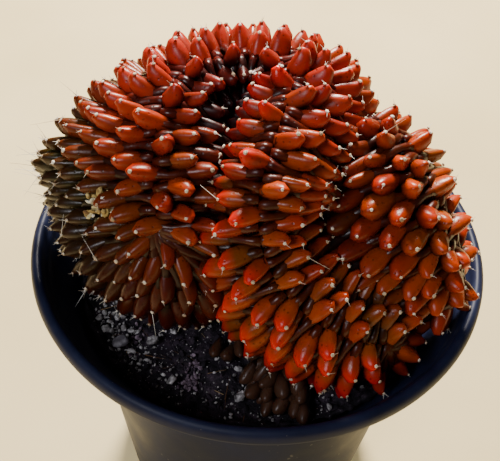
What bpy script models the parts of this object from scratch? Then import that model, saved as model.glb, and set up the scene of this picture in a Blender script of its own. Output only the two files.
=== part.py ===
"""Potted round cactus: a crested (cristate) cactus in a wide-brimmed plastic nursery pot.

Metres, +Z up.  The origin is the middle of the pot's flat underside.
Two folded growing ridges carry ribs of tubercles down both flanks; they stand on one
woody root crown that is seated in a socket in the soil.
"""
import math

import bpy
import bmesh
from mathutils import Matrix, Vector
from mathutils.bvhtree import BVHTree

# ----------------------------------------------------------------- driving dimensions
POT_HEIGHT = 0.1000          # underside to the top of the rolled rim
POT_RIM_RADIUS = 0.0650      # outer edge of the rolled rim
POT_NECK_RADIUS = 0.0505     # outer radius where the flared collar meets the body
POT_BASE_RADIUS = 0.0410     # outer radius at the underside
POT_WALL = 0.0012            # moulded wall
POT_BASE_THICKNESS = 0.0016
RIM_BEAD_HEIGHT = 0.0052     # rolled edge, top to bottom
RIM_BEAD_WIDTH = 0.0034
COLLAR_DEPTH = 0.0225        # rim top down to the neck
DRAIN_HOLES = 8
DRAIN_HOLE_RADIUS = 0.0036
DRAIN_CIRCLE_RADIUS = 0.0290

SOIL_DEPTH_BELOW_RIM = 0.0165    # rim top down to the soil surface
SOIL_ROUGHNESS = 0.0022          # how far the hollows sink below the surface level
SEAT_GAP = 0.0003                # clearance between pieces that touch

CREST_SPREAD = 0.1240            # across the tubercles, side to side
CREST_HEIGHT = 0.0760            # highest tubercle above the soil
RIB_PITCH = 0.0052               # spacing of the ribs along a ridge
TUBERCLES_PER_RIB = 6            # down one flank
TUBERCLE_RISE = 0.0022           # a tubercle stands this far out of its rib
RIB_GROOVE = 0.0014              # groove between two ribs
SKIN_GRAIN = 0.0013              # how finely the folds are grown together
SKIN_SHARE_KEPT = 0.125          # share of that fine skin kept in the light mesh

ROOT_CROWN_SIZE = (0.0360, 0.0230, 0.0380)   # half axes of the woody crown
ROOT_CROWN_PLACE = (0.0060, 0.0040)

SPINE_LENGTH = 0.0110
SPINE_RADIUS = 0.00035
SPINE_ROWS = 4                   # rows of long spines on the left limb
SPINES_PER_ROW = 4
PERLITE_COUNT = 12
PERLITE_RADIUS = 0.0017
STONE_RADIUS = 0.0030

# ----------------------------------------------------------------- derived levels
SOIL_TOP = POT_HEIGHT - SOIL_DEPTH_BELOW_RIM
FOOT_LEVEL = SOIL_TOP + SEAT_GAP
HALF_SPREAD = CREST_SPREAD / 2.0

# A ridge is a short list of stations.  Each station is:
#   (x, y) as shares of the half spread, z as a share of the crest height above the soil,
#   reach of the left flank and of the right flank as shares of the half spread,
#   how far round the left and the right flank curl under, in degrees from the crown.
MAIN_RIDGE = (
    ((-0.39, -0.51, 0.68), (0.68, 0.32), (122, 120)),    # front end of the left limb
    ((-0.42, -0.40, 0.83), (0.75, 0.24), (120, 108)),    # brow of the left limb
    ((-0.42, -0.25, 0.91), (0.75, 0.20), (118, 96)),
    ((-0.40, -0.10, 0.94), (0.69, 0.17), (116, 88)),     # top of the left limb
    ((-0.34, 0.06, 0.94), (0.58, 0.13), (116, 84)),
    ((-0.21, 0.17, 0.94), (0.54, 0.12), (116, 82)),      # back of the arch
    ((-0.06, 0.19, 0.94), (0.54, 0.12), (116, 82)),
    ((0.04, 0.12, 0.96), (0.52, 0.14), (112, 82)),       # shoulder of the arch
    ((0.08, 0.00, 0.97), (0.36, 0.19), (100, 86)),
    ((0.06, -0.19, 0.98), (0.29, 0.19), (94, 92)),       # top of the middle limb
    ((0.02, -0.38, 0.95), (0.27, 0.18), (94, 112)),
    ((-0.01, -0.52, 0.88), (0.27, 0.18), (96, 124)),
    ((0.00, -0.60, 0.76), (0.27, 0.19), (98, 126)),
    ((0.05, -0.64, 0.64), (0.28, 0.19), (100, 124)),     # middle limb turns to the right
    ((0.15, -0.68, 0.53), (0.30, 0.20), (106, 120)),
    ((0.28, -0.70, 0.44), (0.30, 0.21), (110, 116)),
    ((0.43, -0.68, 0.36), (0.28, 0.22), (112, 114)),
    ((0.57, -0.62, 0.29), (0.23, 0.22), (114, 114)),     # low front end
)
SIDE_RIDGE = (
    ((0.34, 0.22, 0.72), (0.36, 0.14), (116, 84)),       # back end, against the middle limb
    ((0.42, 0.10, 0.78), (0.34, 0.24), (114, 88)),
    ((0.50, 0.01, 0.80), (0.32, 0.29), (114, 96)),       # top of the side lobe
    ((0.58, -0.08, 0.79), (0.31, 0.31), (114, 104)),
    ((0.65, -0.18, 0.73), (0.30, 0.32), (114, 112)),
    ((0.72, -0.25, 0.65), (0.28, 0.31), (114, 116)),
    ((0.79, -0.28, 0.55), (0.25, 0.28), (114, 116)),
    ((0.85, -0.29, 0.44), (0.22, 0.24), (114, 116)),
    ((0.89, -0.28, 0.33), (0.18, 0.20), (114, 114)),     # low outer end
)
CREST_HEART = (0.0, -0.06, 0.05)     # the flanks lean away from here, same shares as above
FLANK_DEPTH = 0.54                   # ridge to widest point, as a share of the ridge's height


# ----------------------------------------------------------------- scene helpers
def clear_scene():
    for obj in list(bpy.data.objects):
        bpy.data.objects.remove(obj, do_unlink=True)


def make_collection(name):
    collection = bpy.data.collections.new(name)
    bpy.context.scene.collection.children.link(collection)
    return collection


def make_material(name, colour, roughness):
    material = bpy.data.materials.new(name)
    material.use_nodes = True
    shader = material.node_tree.nodes["Principled BSDF"]
    shader.inputs["Base Color"].default_value = (*colour, 1.0)
    shader.inputs["Roughness"].default_value = roughness
    material.diffuse_color = (*colour, 1.0)
    return material


def add_object(name, mesh, collection, material=None, smooth=False):
    obj = bpy.data.objects.new(name, mesh)
    collection.objects.link(obj)
    if material is not None:
        mesh.materials.append(material)
    if smooth:
        for polygon in mesh.polygons:
            polygon.use_smooth = True
    return obj


def mesh_from_bmesh(name, shape):
    mesh = bpy.data.meshes.new(name)
    bmesh.ops.recalc_face_normals(shape, faces=shape.faces)
    if shape.calc_volume(signed=True) < 0.0:
        bmesh.ops.reverse_faces(shape, faces=shape.faces)
    shape.to_mesh(mesh)
    shape.free()
    return mesh


def outline_object(name, outline, collection, steps, material=None):
    """A turned piece: an outline in the XZ plane, swept round Z by a Screw modifier."""
    mesh = bpy.data.meshes.new(name)
    points = [(radius, 0.0, height) for radius, height in outline]
    edges = [(index, index + 1) for index in range(len(points) - 1)]
    mesh.from_pydata(points, edges, [])
    obj = add_object(name, mesh, collection, material)
    screw = obj.modifiers.new("turn", "SCREW")
    screw.axis = "Z"
    screw.angle = math.tau
    screw.steps = steps
    screw.render_steps = steps
    screw.use_merge_vertices = True
    screw.merge_threshold = 0.00001
    screw.use_smooth_shade = True
    return obj


def cut(obj, tool):
    boolean = obj.modifiers.new("cut " + tool.name, "BOOLEAN")
    boolean.operation = "DIFFERENCE"
    boolean.solver = "EXACT"
    boolean.object = tool


def join(obj, tool):
    boolean = obj.modifiers.new("join " + tool.name, "BOOLEAN")
    boolean.operation = "UNION"
    boolean.solver = "EXACT"
    boolean.object = tool


def hide_guide(obj):
    obj.hide_render = True
    obj.display_type = "WIRE"


# ----------------------------------------------------------------- pot
def arc(centre, radii, start, stop, steps):
    points = []
    for index in range(steps + 1):
        angle = math.radians(start + (stop - start) * index / steps)
        radius = centre[0] + radii[0] * math.cos(angle)
        height = centre[1] + radii[1] * math.sin(angle)
        points.append((radius, height))
    return points


def inner_radius(height):
    """Radius of the pot's inner wall at a height below the collar."""
    neck = POT_HEIGHT - COLLAR_DEPTH
    share = height / neck
    outer = POT_BASE_RADIUS + (POT_NECK_RADIUS - POT_BASE_RADIUS) * share
    return outer - POT_WALL


def build_pot(parts, guides):
    neck = POT_HEIGHT - COLLAR_DEPTH
    bead_centre = (POT_RIM_RADIUS - RIM_BEAD_WIDTH / 2.0, POT_HEIGHT - RIM_BEAD_HEIGHT / 2.0)
    bead_radii = (RIM_BEAD_WIDTH / 2.0, RIM_BEAD_HEIGHT / 2.0)
    collar_top = bead_centre[0] - RIM_BEAD_WIDTH * 0.62
    shoulder = POT_NECK_RADIUS + 0.0040
    outline = [
        (0.0, POT_BASE_THICKNESS),
        (inner_radius(POT_BASE_THICKNESS), POT_BASE_THICKNESS),
        (POT_NECK_RADIUS - POT_WALL, neck),
        (shoulder - POT_WALL, neck + 0.0060),
        (collar_top - POT_WALL * 0.4, POT_HEIGHT - RIM_BEAD_HEIGHT * 1.10),
        (collar_top, POT_HEIGHT - RIM_BEAD_HEIGHT * 0.55),
    ]
    outline += arc(bead_centre, bead_radii, 165, -100, 8)
    outline += [
        (collar_top + POT_WALL * 0.7, POT_HEIGHT - RIM_BEAD_HEIGHT * 1.12),
        (shoulder, neck + 0.0056),
        (POT_NECK_RADIUS, neck - 0.0004),
        (POT_BASE_RADIUS, 0.0010),
        (POT_BASE_RADIUS - 0.0010, 0.0),
        (0.0, 0.0),
    ]
    plastic = make_material("moulded charcoal plastic", (0.020, 0.024, 0.034), 0.45)
    pot = outline_object("pot", outline, parts, 40, plastic)

    holes = bmesh.new()
    for index in range(DRAIN_HOLES):
        angle = math.tau * (index + 0.5) / DRAIN_HOLES
        place = Vector((math.cos(angle), math.sin(angle), 0.0)) * DRAIN_CIRCLE_RADIUS
        bmesh.ops.create_cone(
            holes,
            cap_ends=True,
            segments=12,
            radius1=DRAIN_HOLE_RADIUS,
            radius2=DRAIN_HOLE_RADIUS,
            depth=POT_BASE_THICKNESS * 4.0,
            matrix=Matrix.Translation(place),
        )
    tool = add_object("drain holes", mesh_from_bmesh("drain holes", holes), guides)
    hide_guide(tool)
    cut(pot, tool)
    return pot


# ----------------------------------------------------------------- root crown and soil
def crown_shape(swell):
    """The woody crown: an ellipsoid whose lower half sits in the soil."""
    shape = bmesh.new()
    bmesh.ops.create_uvsphere(shape, u_segments=20, v_segments=12, radius=1.0)
    size = Vector(ROOT_CROWN_SIZE) + Vector((swell, swell, swell))
    place = Vector((ROOT_CROWN_PLACE[0], ROOT_CROWN_PLACE[1], SOIL_TOP + 0.0080))
    for vert in shape.verts:
        vert.co = Vector((vert.co[axis] * size[axis] for axis in range(3))) + place
    return shape


def crown_solid(name, swell, guides):
    obj = add_object(name, mesh_from_bmesh(name, crown_shape(swell)), guides)
    hide_guide(obj)
    return obj


def build_soil(parts, guides):
    neck = POT_HEIGHT - COLLAR_DEPTH
    floor = POT_BASE_THICKNESS + SEAT_GAP
    inner = inner_radius(floor) - SEAT_GAP
    shoulder = POT_NECK_RADIUS + 0.0040 - POT_WALL - SEAT_GAP
    outline = [(0.0, SOIL_TOP)]
    for share in (0.22, 0.40, 0.56, 0.70, 0.82, 0.92):
        outline.append((shoulder * share, SOIL_TOP))
    outline += [
        (shoulder, SOIL_TOP),
        (POT_NECK_RADIUS - POT_WALL - SEAT_GAP, neck),
        (inner, floor),
        (0.0, floor),
    ]
    peat = make_material("peat potting mix", (0.018, 0.015, 0.014), 0.95)
    soil = outline_object("soil", outline, parts, 40, peat)
    group = soil.vertex_groups.new(name="open surface")
    group.add(list(range(1, 7)), 1.0, "REPLACE")
    cloud = bpy.data.textures.new("soil lumps", "CLOUDS")
    cloud.noise_scale = 0.009
    rough = soil.modifiers.new("lumps", "DISPLACE")
    rough.texture = cloud
    rough.texture_coords = "LOCAL"
    rough.direction = "Z"
    rough.mid_level = 0.0
    rough.strength = -SOIL_ROUGHNESS
    rough.vertex_group = group.name
    socket = crown_solid("crown socket", SEAT_GAP, guides)
    cut(soil, socket)
    return soil


# ----------------------------------------------------------------- crest
def to_place(shares):
    return Vector((
        shares[0] * HALF_SPREAD,
        shares[1] * HALF_SPREAD,
        SOIL_TOP + shares[2] * CREST_HEIGHT,
    ))


def catmull(values, position):
    """Smooth value between the stations of a ridge; values may be numbers or vectors."""
    last = len(values) - 1
    index = min(int(position), last - 1)
    step = position - index
    before = values[max(index - 1, 0)]
    here = values[index]
    after = values[index + 1]
    beyond = values[min(index + 2, last)]
    linear = (after - before) * (0.5 * step)
    square = (before * 2.0 - here * 5.0 + after * 4.0 - beyond) * (0.5 * step ** 2)
    cube = (here * 3.0 - before - after * 3.0 + beyond) * (0.5 * step ** 3)
    return here + linear + square + cube


def ridge_frames(ridge, spacing):
    """Evenly spaced frames along a ridge: place, side, up, reaches and curls."""
    places = [to_place(station[0]) for station in ridge]
    heart = to_place(CREST_HEART)
    fine = []
    for index in range((len(ridge) - 1) * 40 + 1):
        fine.append(index / 40.0)
    lengths = [0.0]
    for first, second in zip(fine, fine[1:]):
        step = (catmull(places, second) - catmull(places, first)).length
        lengths.append(lengths[-1] + step)
    count = max(2, round(lengths[-1] / spacing / 2.0) * 2)
    frames = []
    cursor = 0
    for index in range(count + 1):
        wanted = lengths[-1] * index / count
        while cursor < len(lengths) - 2 and lengths[cursor + 1] < wanted:
            cursor += 1
        part = (wanted - lengths[cursor]) / (lengths[cursor + 1] - lengths[cursor])
        position = min(fine[cursor] + part / 40.0, len(ridge) - 1.0)
        place = catmull(places, position)
        ahead = catmull(places, min(position + 0.25, len(ridge) - 1.0))
        behind = catmull(places, max(position - 0.25, 0.0))
        along = (ahead - behind).normalized()
        up = (place - heart)
        up = (up - along * up.dot(along)).normalized()
        side = up.cross(along).normalized()
        reach = [catmull([s[1][k] for s in ridge], position) * HALF_SPREAD for k in (0, 1)]
        curl = [catmull([float(s[2][k]) for s in ridge], position) for k in (0, 1)]
        frames.append((place, along, side, up, reach, curl))
    return frames


def flank_point(frame, direction, reach, curl, share):
    """A point on the flank: share 0 is the ridge itself, 1 is the curled-under foot."""
    place, _, _, up, _, _ = frame
    depth = FLANK_DEPTH * (place.z - SOIL_TOP)
    angle = math.radians(curl) * share
    sideways = reach * math.sin(angle) ** 0.92
    return place + direction * sideways + up * depth * (math.cos(angle) - 1.0)


def rest_on_soil(point):
    """Nothing of a fold sinks below the level its underside rests at."""
    return Vector((point.x, point.y, max(point.z, FOOT_LEVEL + SKIN_GRAIN * 0.5)))


def add_fold(target, ridge):
    """Loft one fold: the flanks walk all the way round the ridge, ribs and tubercles on."""
    frames = ridge_frames(ridge, RIB_PITCH / 2.0)
    columns = TUBERCLES_PER_RIB * 2
    last = len(frames) - 1
    fan = 10
    walk = []
    for index in range(last + 1):
        frame = frames[index]
        walk.append((index, frame[2], frame[4][0], frame[5][0]))
    for index in range(1, fan):
        walk.append(fan_step(frames[last], last, index / fan, 1.0))
    for index in range(last, -1, -1):
        frame = frames[index]
        walk.append((index, -frame[2], frame[4][1], frame[5][1]))
    for index in range(1, fan):
        walk.append(fan_step(frames[0], 0, index / fan, -1.0))

    shape = bmesh.new()
    crown = [shape.verts.new(frame[0]) for frame in frames]
    rows = []
    for index, direction, reach, curl in walk:
        row = [crown[index]]
        for column in range(1, columns + 1):
            point = flank_point(frames[index], direction, reach, curl, column / columns)
            row.append(shape.verts.new(point))
        rows.append(row)
    for number, row in enumerate(rows):
        following = rows[(number + 1) % len(rows)]
        for column in range(columns):
            corners = [row[column], row[column + 1], following[column + 1], following[column]]
            if corners[0] is corners[3]:
                corners.pop()
            shape.faces.new(corners)
    other = 2 * last + fan
    for index in range(last):
        left = rows[index][columns]
        left_next = rows[index + 1][columns]
        right = rows[other - index][columns]
        right_next = rows[other - index - 1][columns]
        shape.faces.new([left_next, left, right, right_next])
    front = [rows[last + step][columns] for step in range(fan + 1)]
    shape.faces.new(front)
    back = [rows[(other + step) % len(rows)][columns] for step in range(fan + 1)]
    shape.faces.new(back)
    bmesh.ops.recalc_face_normals(shape, faces=shape.faces)
    shape.normal_update()

    offsets = []
    for number, row in enumerate(rows):
        for column in range(1, columns):
            on_rib = number % 2 == 0
            staggered = (number // 2 + column) % 2 == 0
            height = -RIB_GROOVE
            if on_rib and staggered:
                height = TUBERCLE_RISE
            elif on_rib:
                height = 0.0002
            fade = min(1.0, column / 2.0)
            offsets.append((row[column], row[column].normal * height * fade))
    for vert, offset in offsets:
        vert.co += offset
    for vert in shape.verts:
        vert.co = rest_on_soil(vert.co)
    bmesh.ops.triangulate(shape, faces=shape.faces)
    fold = bpy.data.meshes.new("fold")
    shape.to_mesh(fold)
    shape.free()
    target.from_mesh(fold)
    bpy.data.meshes.remove(fold)


def add_crown_top(target):
    """The crown above the soil, so that no hollow is left between it and the folds."""
    shape = crown_shape(-0.0006)
    for vert in shape.verts:
        vert.co = rest_on_soil(vert.co)
    top = bpy.data.meshes.new("crown top")
    shape.to_mesh(top)
    shape.free()
    target.from_mesh(top)
    bpy.data.meshes.remove(top)


def fan_step(frame, index, share, sign):
    """One step of the half turn round the end of a ridge."""
    angle = math.pi * share
    _, along, side, _, reach, curl = frame
    if sign > 0:
        direction = side * math.cos(angle) + along * math.sin(angle)
        ends = ((reach[0], curl[0]), (reach[1], curl[1]))
    else:
        direction = -side * math.cos(angle) - along * math.sin(angle)
        ends = ((reach[1], curl[1]), (reach[0], curl[0]))
    blend = 0.5 - 0.5 * math.cos(angle)
    reach_here = ends[0][0] * (1.0 - blend) + ends[1][0] * blend
    curl_here = ends[0][1] * (1.0 - blend) + ends[1][1] * blend
    return (index, direction, reach_here, curl_here)


def outer_skin(obj):
    """The grown-together skin without any pocket that is shut in between the folds."""
    graph = bpy.context.evaluated_depsgraph_get()
    graph.update()
    shape = bmesh.new()
    shape.from_mesh(obj.evaluated_get(graph).to_mesh())
    waiting = set(shape.verts)
    largest = set()
    while waiting:
        island = set()
        front = [waiting.pop()]
        while front:
            vert = front.pop()
            island.add(vert)
            for edge in vert.link_edges:
                other = edge.other_vert(vert)
                if other in waiting:
                    waiting.remove(other)
                    front.append(other)
        if len(island) > len(largest):
            largest = island
    pockets = [vert for vert in shape.verts if vert not in largest]
    bmesh.ops.delete(shape, geom=pockets, context="VERTS")
    return mesh_from_bmesh("crest_body", shape)


def build_crest(parts, guides):
    """Both folds grown together into one skin, with the woody crown under them."""
    flesh = make_material("waxy succulent skin", (0.22, 0.045, 0.018), 0.35)
    shape = bmesh.new()
    for ridge in (MAIN_RIDGE, SIDE_RIDGE):
        add_fold(shape, ridge)
    add_crown_top(shape)
    folds = add_object("folds", mesh_from_bmesh("folds", shape), guides)
    hide_guide(folds)
    skin = folds.modifiers.new("grown together", "REMESH")
    skin.mode = "VOXEL"
    skin.voxel_size = SKIN_GRAIN
    skin.adaptivity = 0.0
    crest = add_object("crest_body", outer_skin(folds), parts, flesh)
    light = crest.modifiers.new("light mesh", "DECIMATE")
    light.decimate_type = "COLLAPSE"
    light.ratio = SKIN_SHARE_KEPT
    light.use_collapse_triangulate = True
    crown = crown_solid("root crown", 0.0, guides)
    join(crest, crown)
    return crest


# ----------------------------------------------------------------- loose and small pieces
def finished_surface(obj):
    """The finished surface of a piece, for seating small pieces against it."""
    graph = bpy.context.evaluated_depsgraph_get()
    graph.update()
    shape = bmesh.new()
    shape.from_mesh(obj.evaluated_get(graph).to_mesh())
    bmesh.ops.triangulate(shape, faces=shape.faces)
    tree = BVHTree.FromBMesh(shape)
    shape.free()
    return tree


def build_spines(parts, skin):
    """Long spines standing out of the left limb, each just clear of the skin."""
    straw = make_material("dry spine", (0.62, 0.50, 0.34), 0.6)
    frames = ridge_frames(MAIN_RIDGE, RIB_PITCH)
    number = 0
    for row in range(SPINE_ROWS):
        frame = frames[2 + row * 3]
        for step in range(SPINES_PER_ROW):
            share = 0.42 + 0.15 * step + 0.035 * (row % 2)
            point = flank_point(frame, frame[2], frame[4][0], frame[5][0], share)
            inner = flank_point(frame, frame[2], frame[4][0] * 0.5, frame[5][0], share)
            outward = (point - inner).normalized()
            outward = (outward + Vector((0.0, 0.0, 0.45))).normalized()
            hit = skin.ray_cast(point + outward * 0.03, -outward)
            number += 1
            shape = bmesh.new()
            bmesh.ops.create_cone(
                shape,
                cap_ends=True,
                segments=6,
                radius1=SPINE_RADIUS,
                radius2=SPINE_RADIUS * 0.3,
                depth=SPINE_LENGTH,
            )
            turn = outward.to_track_quat("Z", "Y").to_matrix().to_4x4()
            centre = hit[0] + outward * (SPINE_LENGTH / 2.0 + SEAT_GAP)
            shape.transform(Matrix.Translation(centre) @ turn)
            seat_clear(shape, skin, outward)
            name = "spine_%02d" % number
            add_object(name, mesh_from_bmesh(name, shape), parts, straw.copy(), smooth=True)
    bpy.data.materials.remove(straw)


def seat_clear(shape, surface, direction):
    """Slide a small piece out along a direction until it is just clear of a surface."""
    for _ in range(60):
        nearest = min(surface.find_nearest(vert.co)[3] for vert in shape.verts)
        if nearest >= SEAT_GAP * 0.8:
            return
        bmesh.ops.translate(shape, verts=shape.verts, vec=direction * 0.0001)


def drop_on(shape, ground):
    """Lower a loose piece until its closest point is a seat gap above the ground."""
    clearance = 1.0
    for vert in shape.verts:
        hit = ground.ray_cast(vert.co + Vector((0.0, 0.0, 0.02)), Vector((0.0, 0.0, -1.0)))
        if hit[0] is not None:
            clearance = min(clearance, vert.co.z - hit[0].z)
    bmesh.ops.translate(shape, verts=shape.verts, vec=(0.0, 0.0, SEAT_GAP - clearance))


def grain(radius, turn, detail, flatten):
    shape = bmesh.new()
    bmesh.ops.create_icosphere(shape, subdivisions=detail, radius=radius)
    for vert in shape.verts:
        vert.co.x *= 1.0 + 0.22 * math.sin(turn * 1.7)
        vert.co.z *= flatten
        vert.co *= 1.0 + 0.10 * math.sin(vert.co.x / radius * 2.3 + turn)
    shape.transform(Matrix.Rotation(turn, 4, "Z"))
    return shape


def build_grit(parts, skin, ground):
    """Perlite and small stones lying on the open soil in front of the plant."""
    white = make_material("expanded perlite", (0.75, 0.74, 0.70), 0.9)
    reach = POT_NECK_RADIUS - PERLITE_RADIUS * 2.0
    golden = math.pi * (3.0 - math.sqrt(5.0))
    found = []
    for index in range(420):
        radius = reach * math.sqrt((index + 0.5) / 420.0)
        place = Vector((
            radius * math.cos(golden * index),
            radius * math.sin(golden * index),
            SOIL_TOP + PERLITE_RADIUS,
        ))
        touch, normal, _, distance = skin.find_nearest(place)
        outside = (place - touch).dot(normal) > 0.0
        if outside and distance > PERLITE_RADIUS * 2.5 and place.y < -radius * 0.35:
            found.append((place, golden * index))
    stride = max(1, len(found) // PERLITE_COUNT)
    placed = []
    for number in range(PERLITE_COUNT):
        place, turn = found[number * stride]
        size = PERLITE_RADIUS * (0.75 + 0.3 * ((number * 5) % 3) / 2.0)
        shape = grain(size, turn, 1, 0.75)
        bmesh.ops.translate(shape, verts=shape.verts, vec=place)
        drop_on(shape, ground)
        name = "perlite_%02d" % (number + 1)
        add_object(name, mesh_from_bmesh(name, shape), parts, white.copy())
        placed.append(place)
    bpy.data.materials.remove(white)

    rock = make_material("grey gravel", (0.22, 0.21, 0.22), 0.8)
    number = 0
    for place, turn in found[::-1]:
        if number == 3:
            break
        if min((place - other).length for other in placed) < STONE_RADIUS * 2.2:
            continue
        number += 1
        shape = grain(STONE_RADIUS * (1.0 - 0.15 * number), turn, 2, 0.6)
        bmesh.ops.translate(shape, verts=shape.verts, vec=place)
        drop_on(shape, ground)
        name = "stone_%d" % number
        add_object(name, mesh_from_bmesh(name, shape), parts, rock.copy(), smooth=True)
        placed.append(place)
    bpy.data.materials.remove(rock)


# ----------------------------------------------------------------- build
def main():
    clear_scene()
    parts = make_collection("potted round cactus")
    guides = make_collection("guides")
    build_pot(parts, guides)
    soil = build_soil(parts, guides)
    crest = build_crest(parts, guides)
    skin = finished_surface(crest)
    build_spines(parts, skin)
    build_grit(parts, skin, finished_surface(soil))


main()
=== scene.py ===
# %% [markdown]
# # A crested cactus in a plastic nursery pot
# A crested cactus does not grow from one point. Its growing tip has stretched into a long line, and that line
# folds like a ribbon as it gets longer. Ribs of finger-like tubercles run away from the line down both flanks.
# This lesson builds the pot, the potting mix and the plant over a simple CAD model, and gives each one a finish
# of its own.

# %% Load the CAD frame
import math
import random

import bmesh
import bpy
import numpy as np
from mathutils import Matrix, Vector
from mathutils.bvhtree import BVHTree
from mathutils.kdtree import KDTree


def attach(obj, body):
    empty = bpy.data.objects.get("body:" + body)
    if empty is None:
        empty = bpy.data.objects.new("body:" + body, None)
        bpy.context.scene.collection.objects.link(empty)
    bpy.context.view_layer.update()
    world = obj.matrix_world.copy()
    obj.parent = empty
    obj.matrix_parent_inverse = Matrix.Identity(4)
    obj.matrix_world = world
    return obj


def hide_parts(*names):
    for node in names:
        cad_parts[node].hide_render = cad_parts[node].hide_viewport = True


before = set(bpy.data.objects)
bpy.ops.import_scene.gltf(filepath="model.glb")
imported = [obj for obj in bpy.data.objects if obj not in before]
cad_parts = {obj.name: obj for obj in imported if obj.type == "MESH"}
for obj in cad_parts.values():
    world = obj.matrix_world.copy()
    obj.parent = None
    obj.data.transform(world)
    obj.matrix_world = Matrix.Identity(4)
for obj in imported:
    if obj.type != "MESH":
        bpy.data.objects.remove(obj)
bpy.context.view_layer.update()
MM = 0.001

# %% [markdown]
# ## Small helpers
# Colours are easiest to choose as hex values, as on a paint card, but a shader works in linear light, so one
# function turns the one into the other. One more function adds a node with its settings and links; it serves
# every material.


# %% Helpers for colours, nodes and selection
def paint(hex_value):
    """An sRGB hex colour as linear RGBA."""
    channels = [int(hex_value[i : i + 2], 16) / 255.0 for i in (1, 3, 5)]
    linear = [c / 12.92 if c <= 0.04045 else ((c + 0.055) / 1.055) ** 2.4 for c in channels]
    return (*linear, 1.0)


def add_node(tree, kind, settings=None, links=None):
    """Add a node. Settings name its properties or its sockets; links feed sockets from others."""
    made = tree.nodes.new(kind)
    for name, value in (settings or {}).items():
        if isinstance(name, str) and hasattr(made, name):
            setattr(made, name, value)
        else:
            made.inputs[name].default_value = value
    for name, source in (links or {}).items():
        tree.links.new(source, made.inputs[name])
    return made


def new_material(name):
    """A new material with its node tree and its shader."""
    material = bpy.data.materials.new(name)
    material.use_nodes = True
    tree = material.node_tree
    shader = tree.nodes["Principled BSDF"]
    return material, tree, shader


def stops(ramp_node, *pairs):
    """Set a colour ramp's stops from (position, hex) pairs."""
    ramp = ramp_node.color_ramp
    while len(ramp.elements) > len(pairs):
        ramp.elements.remove(ramp.elements[-1])
    while len(ramp.elements) < len(pairs):
        ramp.elements.new(1.0)
    for element, (position, hex_value) in zip(ramp.elements, pairs):
        element.position = position
        element.color = paint(hex_value)


def pick_only(obj=None):
    """Deselect everything, then select and activate one object."""
    if bpy.context.mode != "OBJECT":
        bpy.ops.object.mode_set(mode="OBJECT")
    bpy.ops.object.select_all(action="DESELECT")
    if obj is not None:
        obj.select_set(True)
        bpy.context.view_layer.objects.active = obj


def settle(obj):
    """Bake the object's place into its mesh, so that the object sits at the origin."""
    pick_only(obj)
    bpy.ops.object.transform_apply(location=True, rotation=True, scale=True)


pick_only()
print("helpers ready, nothing selected")

# %% [markdown]
# ## Camera, table and light
# The plant is seen from above its front edge, a little over 45 degrees down, with a moderate lens close by, so
# the near rim looks wide. The main light is a soft disc above and behind, which draws small bright glints on waxy
# skin. A much weaker disc in front opens the shadows. Two area lamps do this; a bare point lamp would give hard
# black shadows.

# %% Camera
camera_data = bpy.data.cameras.new("camera")
camera_data.sensor_width = 36.0
camera_data.lens = 64.8
camera_data.clip_start = 0.01
camera_data.clip_end = 20.0
camera = bpy.data.objects.new("camera", camera_data)
bpy.context.scene.collection.objects.link(camera)
standpoint = Vector((0.0, -0.17732, 0.29037))
look = Vector((-0.01083, 0.68712, -0.72646)).normalized()
top = Vector((-0.08157, 0.72347, 0.68552)).normalized()
right = look.cross(top).normalized()
camera.matrix_world = Matrix((
    (right.x, top.x, -look.x, standpoint.x),
    (right.y, top.y, -look.y, standpoint.y),
    (right.z, top.z, -look.z, standpoint.z),
    (0.0, 0.0, 0.0, 1.0),
))
bpy.context.scene.camera = camera
print("camera height:", round(standpoint.z / MM), "mm")

# %% Table top and background
bpy.ops.mesh.primitive_plane_add(size=4.0, location=(0.0, 0.9, 0.0))
table = bpy.context.active_object
table.name = "table_top"
matt, tree, shader = new_material("matt cream paper backdrop")
coordinates = add_node(tree, "ShaderNodeTexCoord")
on_table = coordinates.outputs["Object"]
mottle = add_node(tree, "ShaderNodeTexNoise", {"Scale": 9.0, "Detail": 3.0}, {"Vector": on_table})
tone = add_node(tree, "ShaderNodeValToRGB", links={"Fac": mottle.outputs["Fac"]})
stops(tone, (0.3, "#c9b583"), (0.7, "#d4c190"))
tree.links.new(tone.outputs["Color"], shader.inputs["Base Color"])
shader.inputs["Roughness"].default_value = 0.8
tree.links.new(tone.outputs["Color"], shader.inputs["Emission Color"])
shader.inputs["Emission Strength"].default_value = 0.44
table.data.materials.append(matt)
print("table laid")


# %% Soft studio light
def soft_box(name, place, aim, width, power, colour):
    """A round area lamp that shines from its place towards its aim."""
    data = bpy.data.lights.new(name, "AREA")
    data.shape = "DISK"
    data.size = width
    data.energy = power
    data.color = paint(colour)[:3]
    light = bpy.data.objects.new(name, data)
    bpy.context.scene.collection.objects.link(light)
    light.location = place
    light.rotation_mode = "QUATERNION"
    light.rotation_quaternion = (Vector(aim) - Vector(place)).to_track_quat("-Z", "Y")
    return light


soft_box("key", (-0.02, 0.60, 0.72), (0.0, 0.0, 0.12), 0.22, 30.0, "#fff6ea")
soft_box("fill", (-0.34, -0.50, 0.66), (0.0, 0.0, 0.12), 0.30, 3.6, "#f4f6ff")
world = bpy.data.worlds.new("room light")
world.use_nodes = True
world.node_tree.nodes["Background"].inputs["Color"].default_value = paint("#f3eee2")
world.node_tree.nodes["Background"].inputs["Strength"].default_value = 0.10
bpy.context.scene.world = world
print("two soft lights and a pale room")

# %% [markdown]
# ## The pot
# The pot is injection moulded in dark plastic: a disc of flat base, a tapered body, a flared collar and a rolled
# rim. A turned form like this can be lathed from a profile. Here it is grown by hand instead: a disc is extruded
# and scaled again and again, ring after ring, which keeps one clean loop of faces for every step of the wall.

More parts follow.
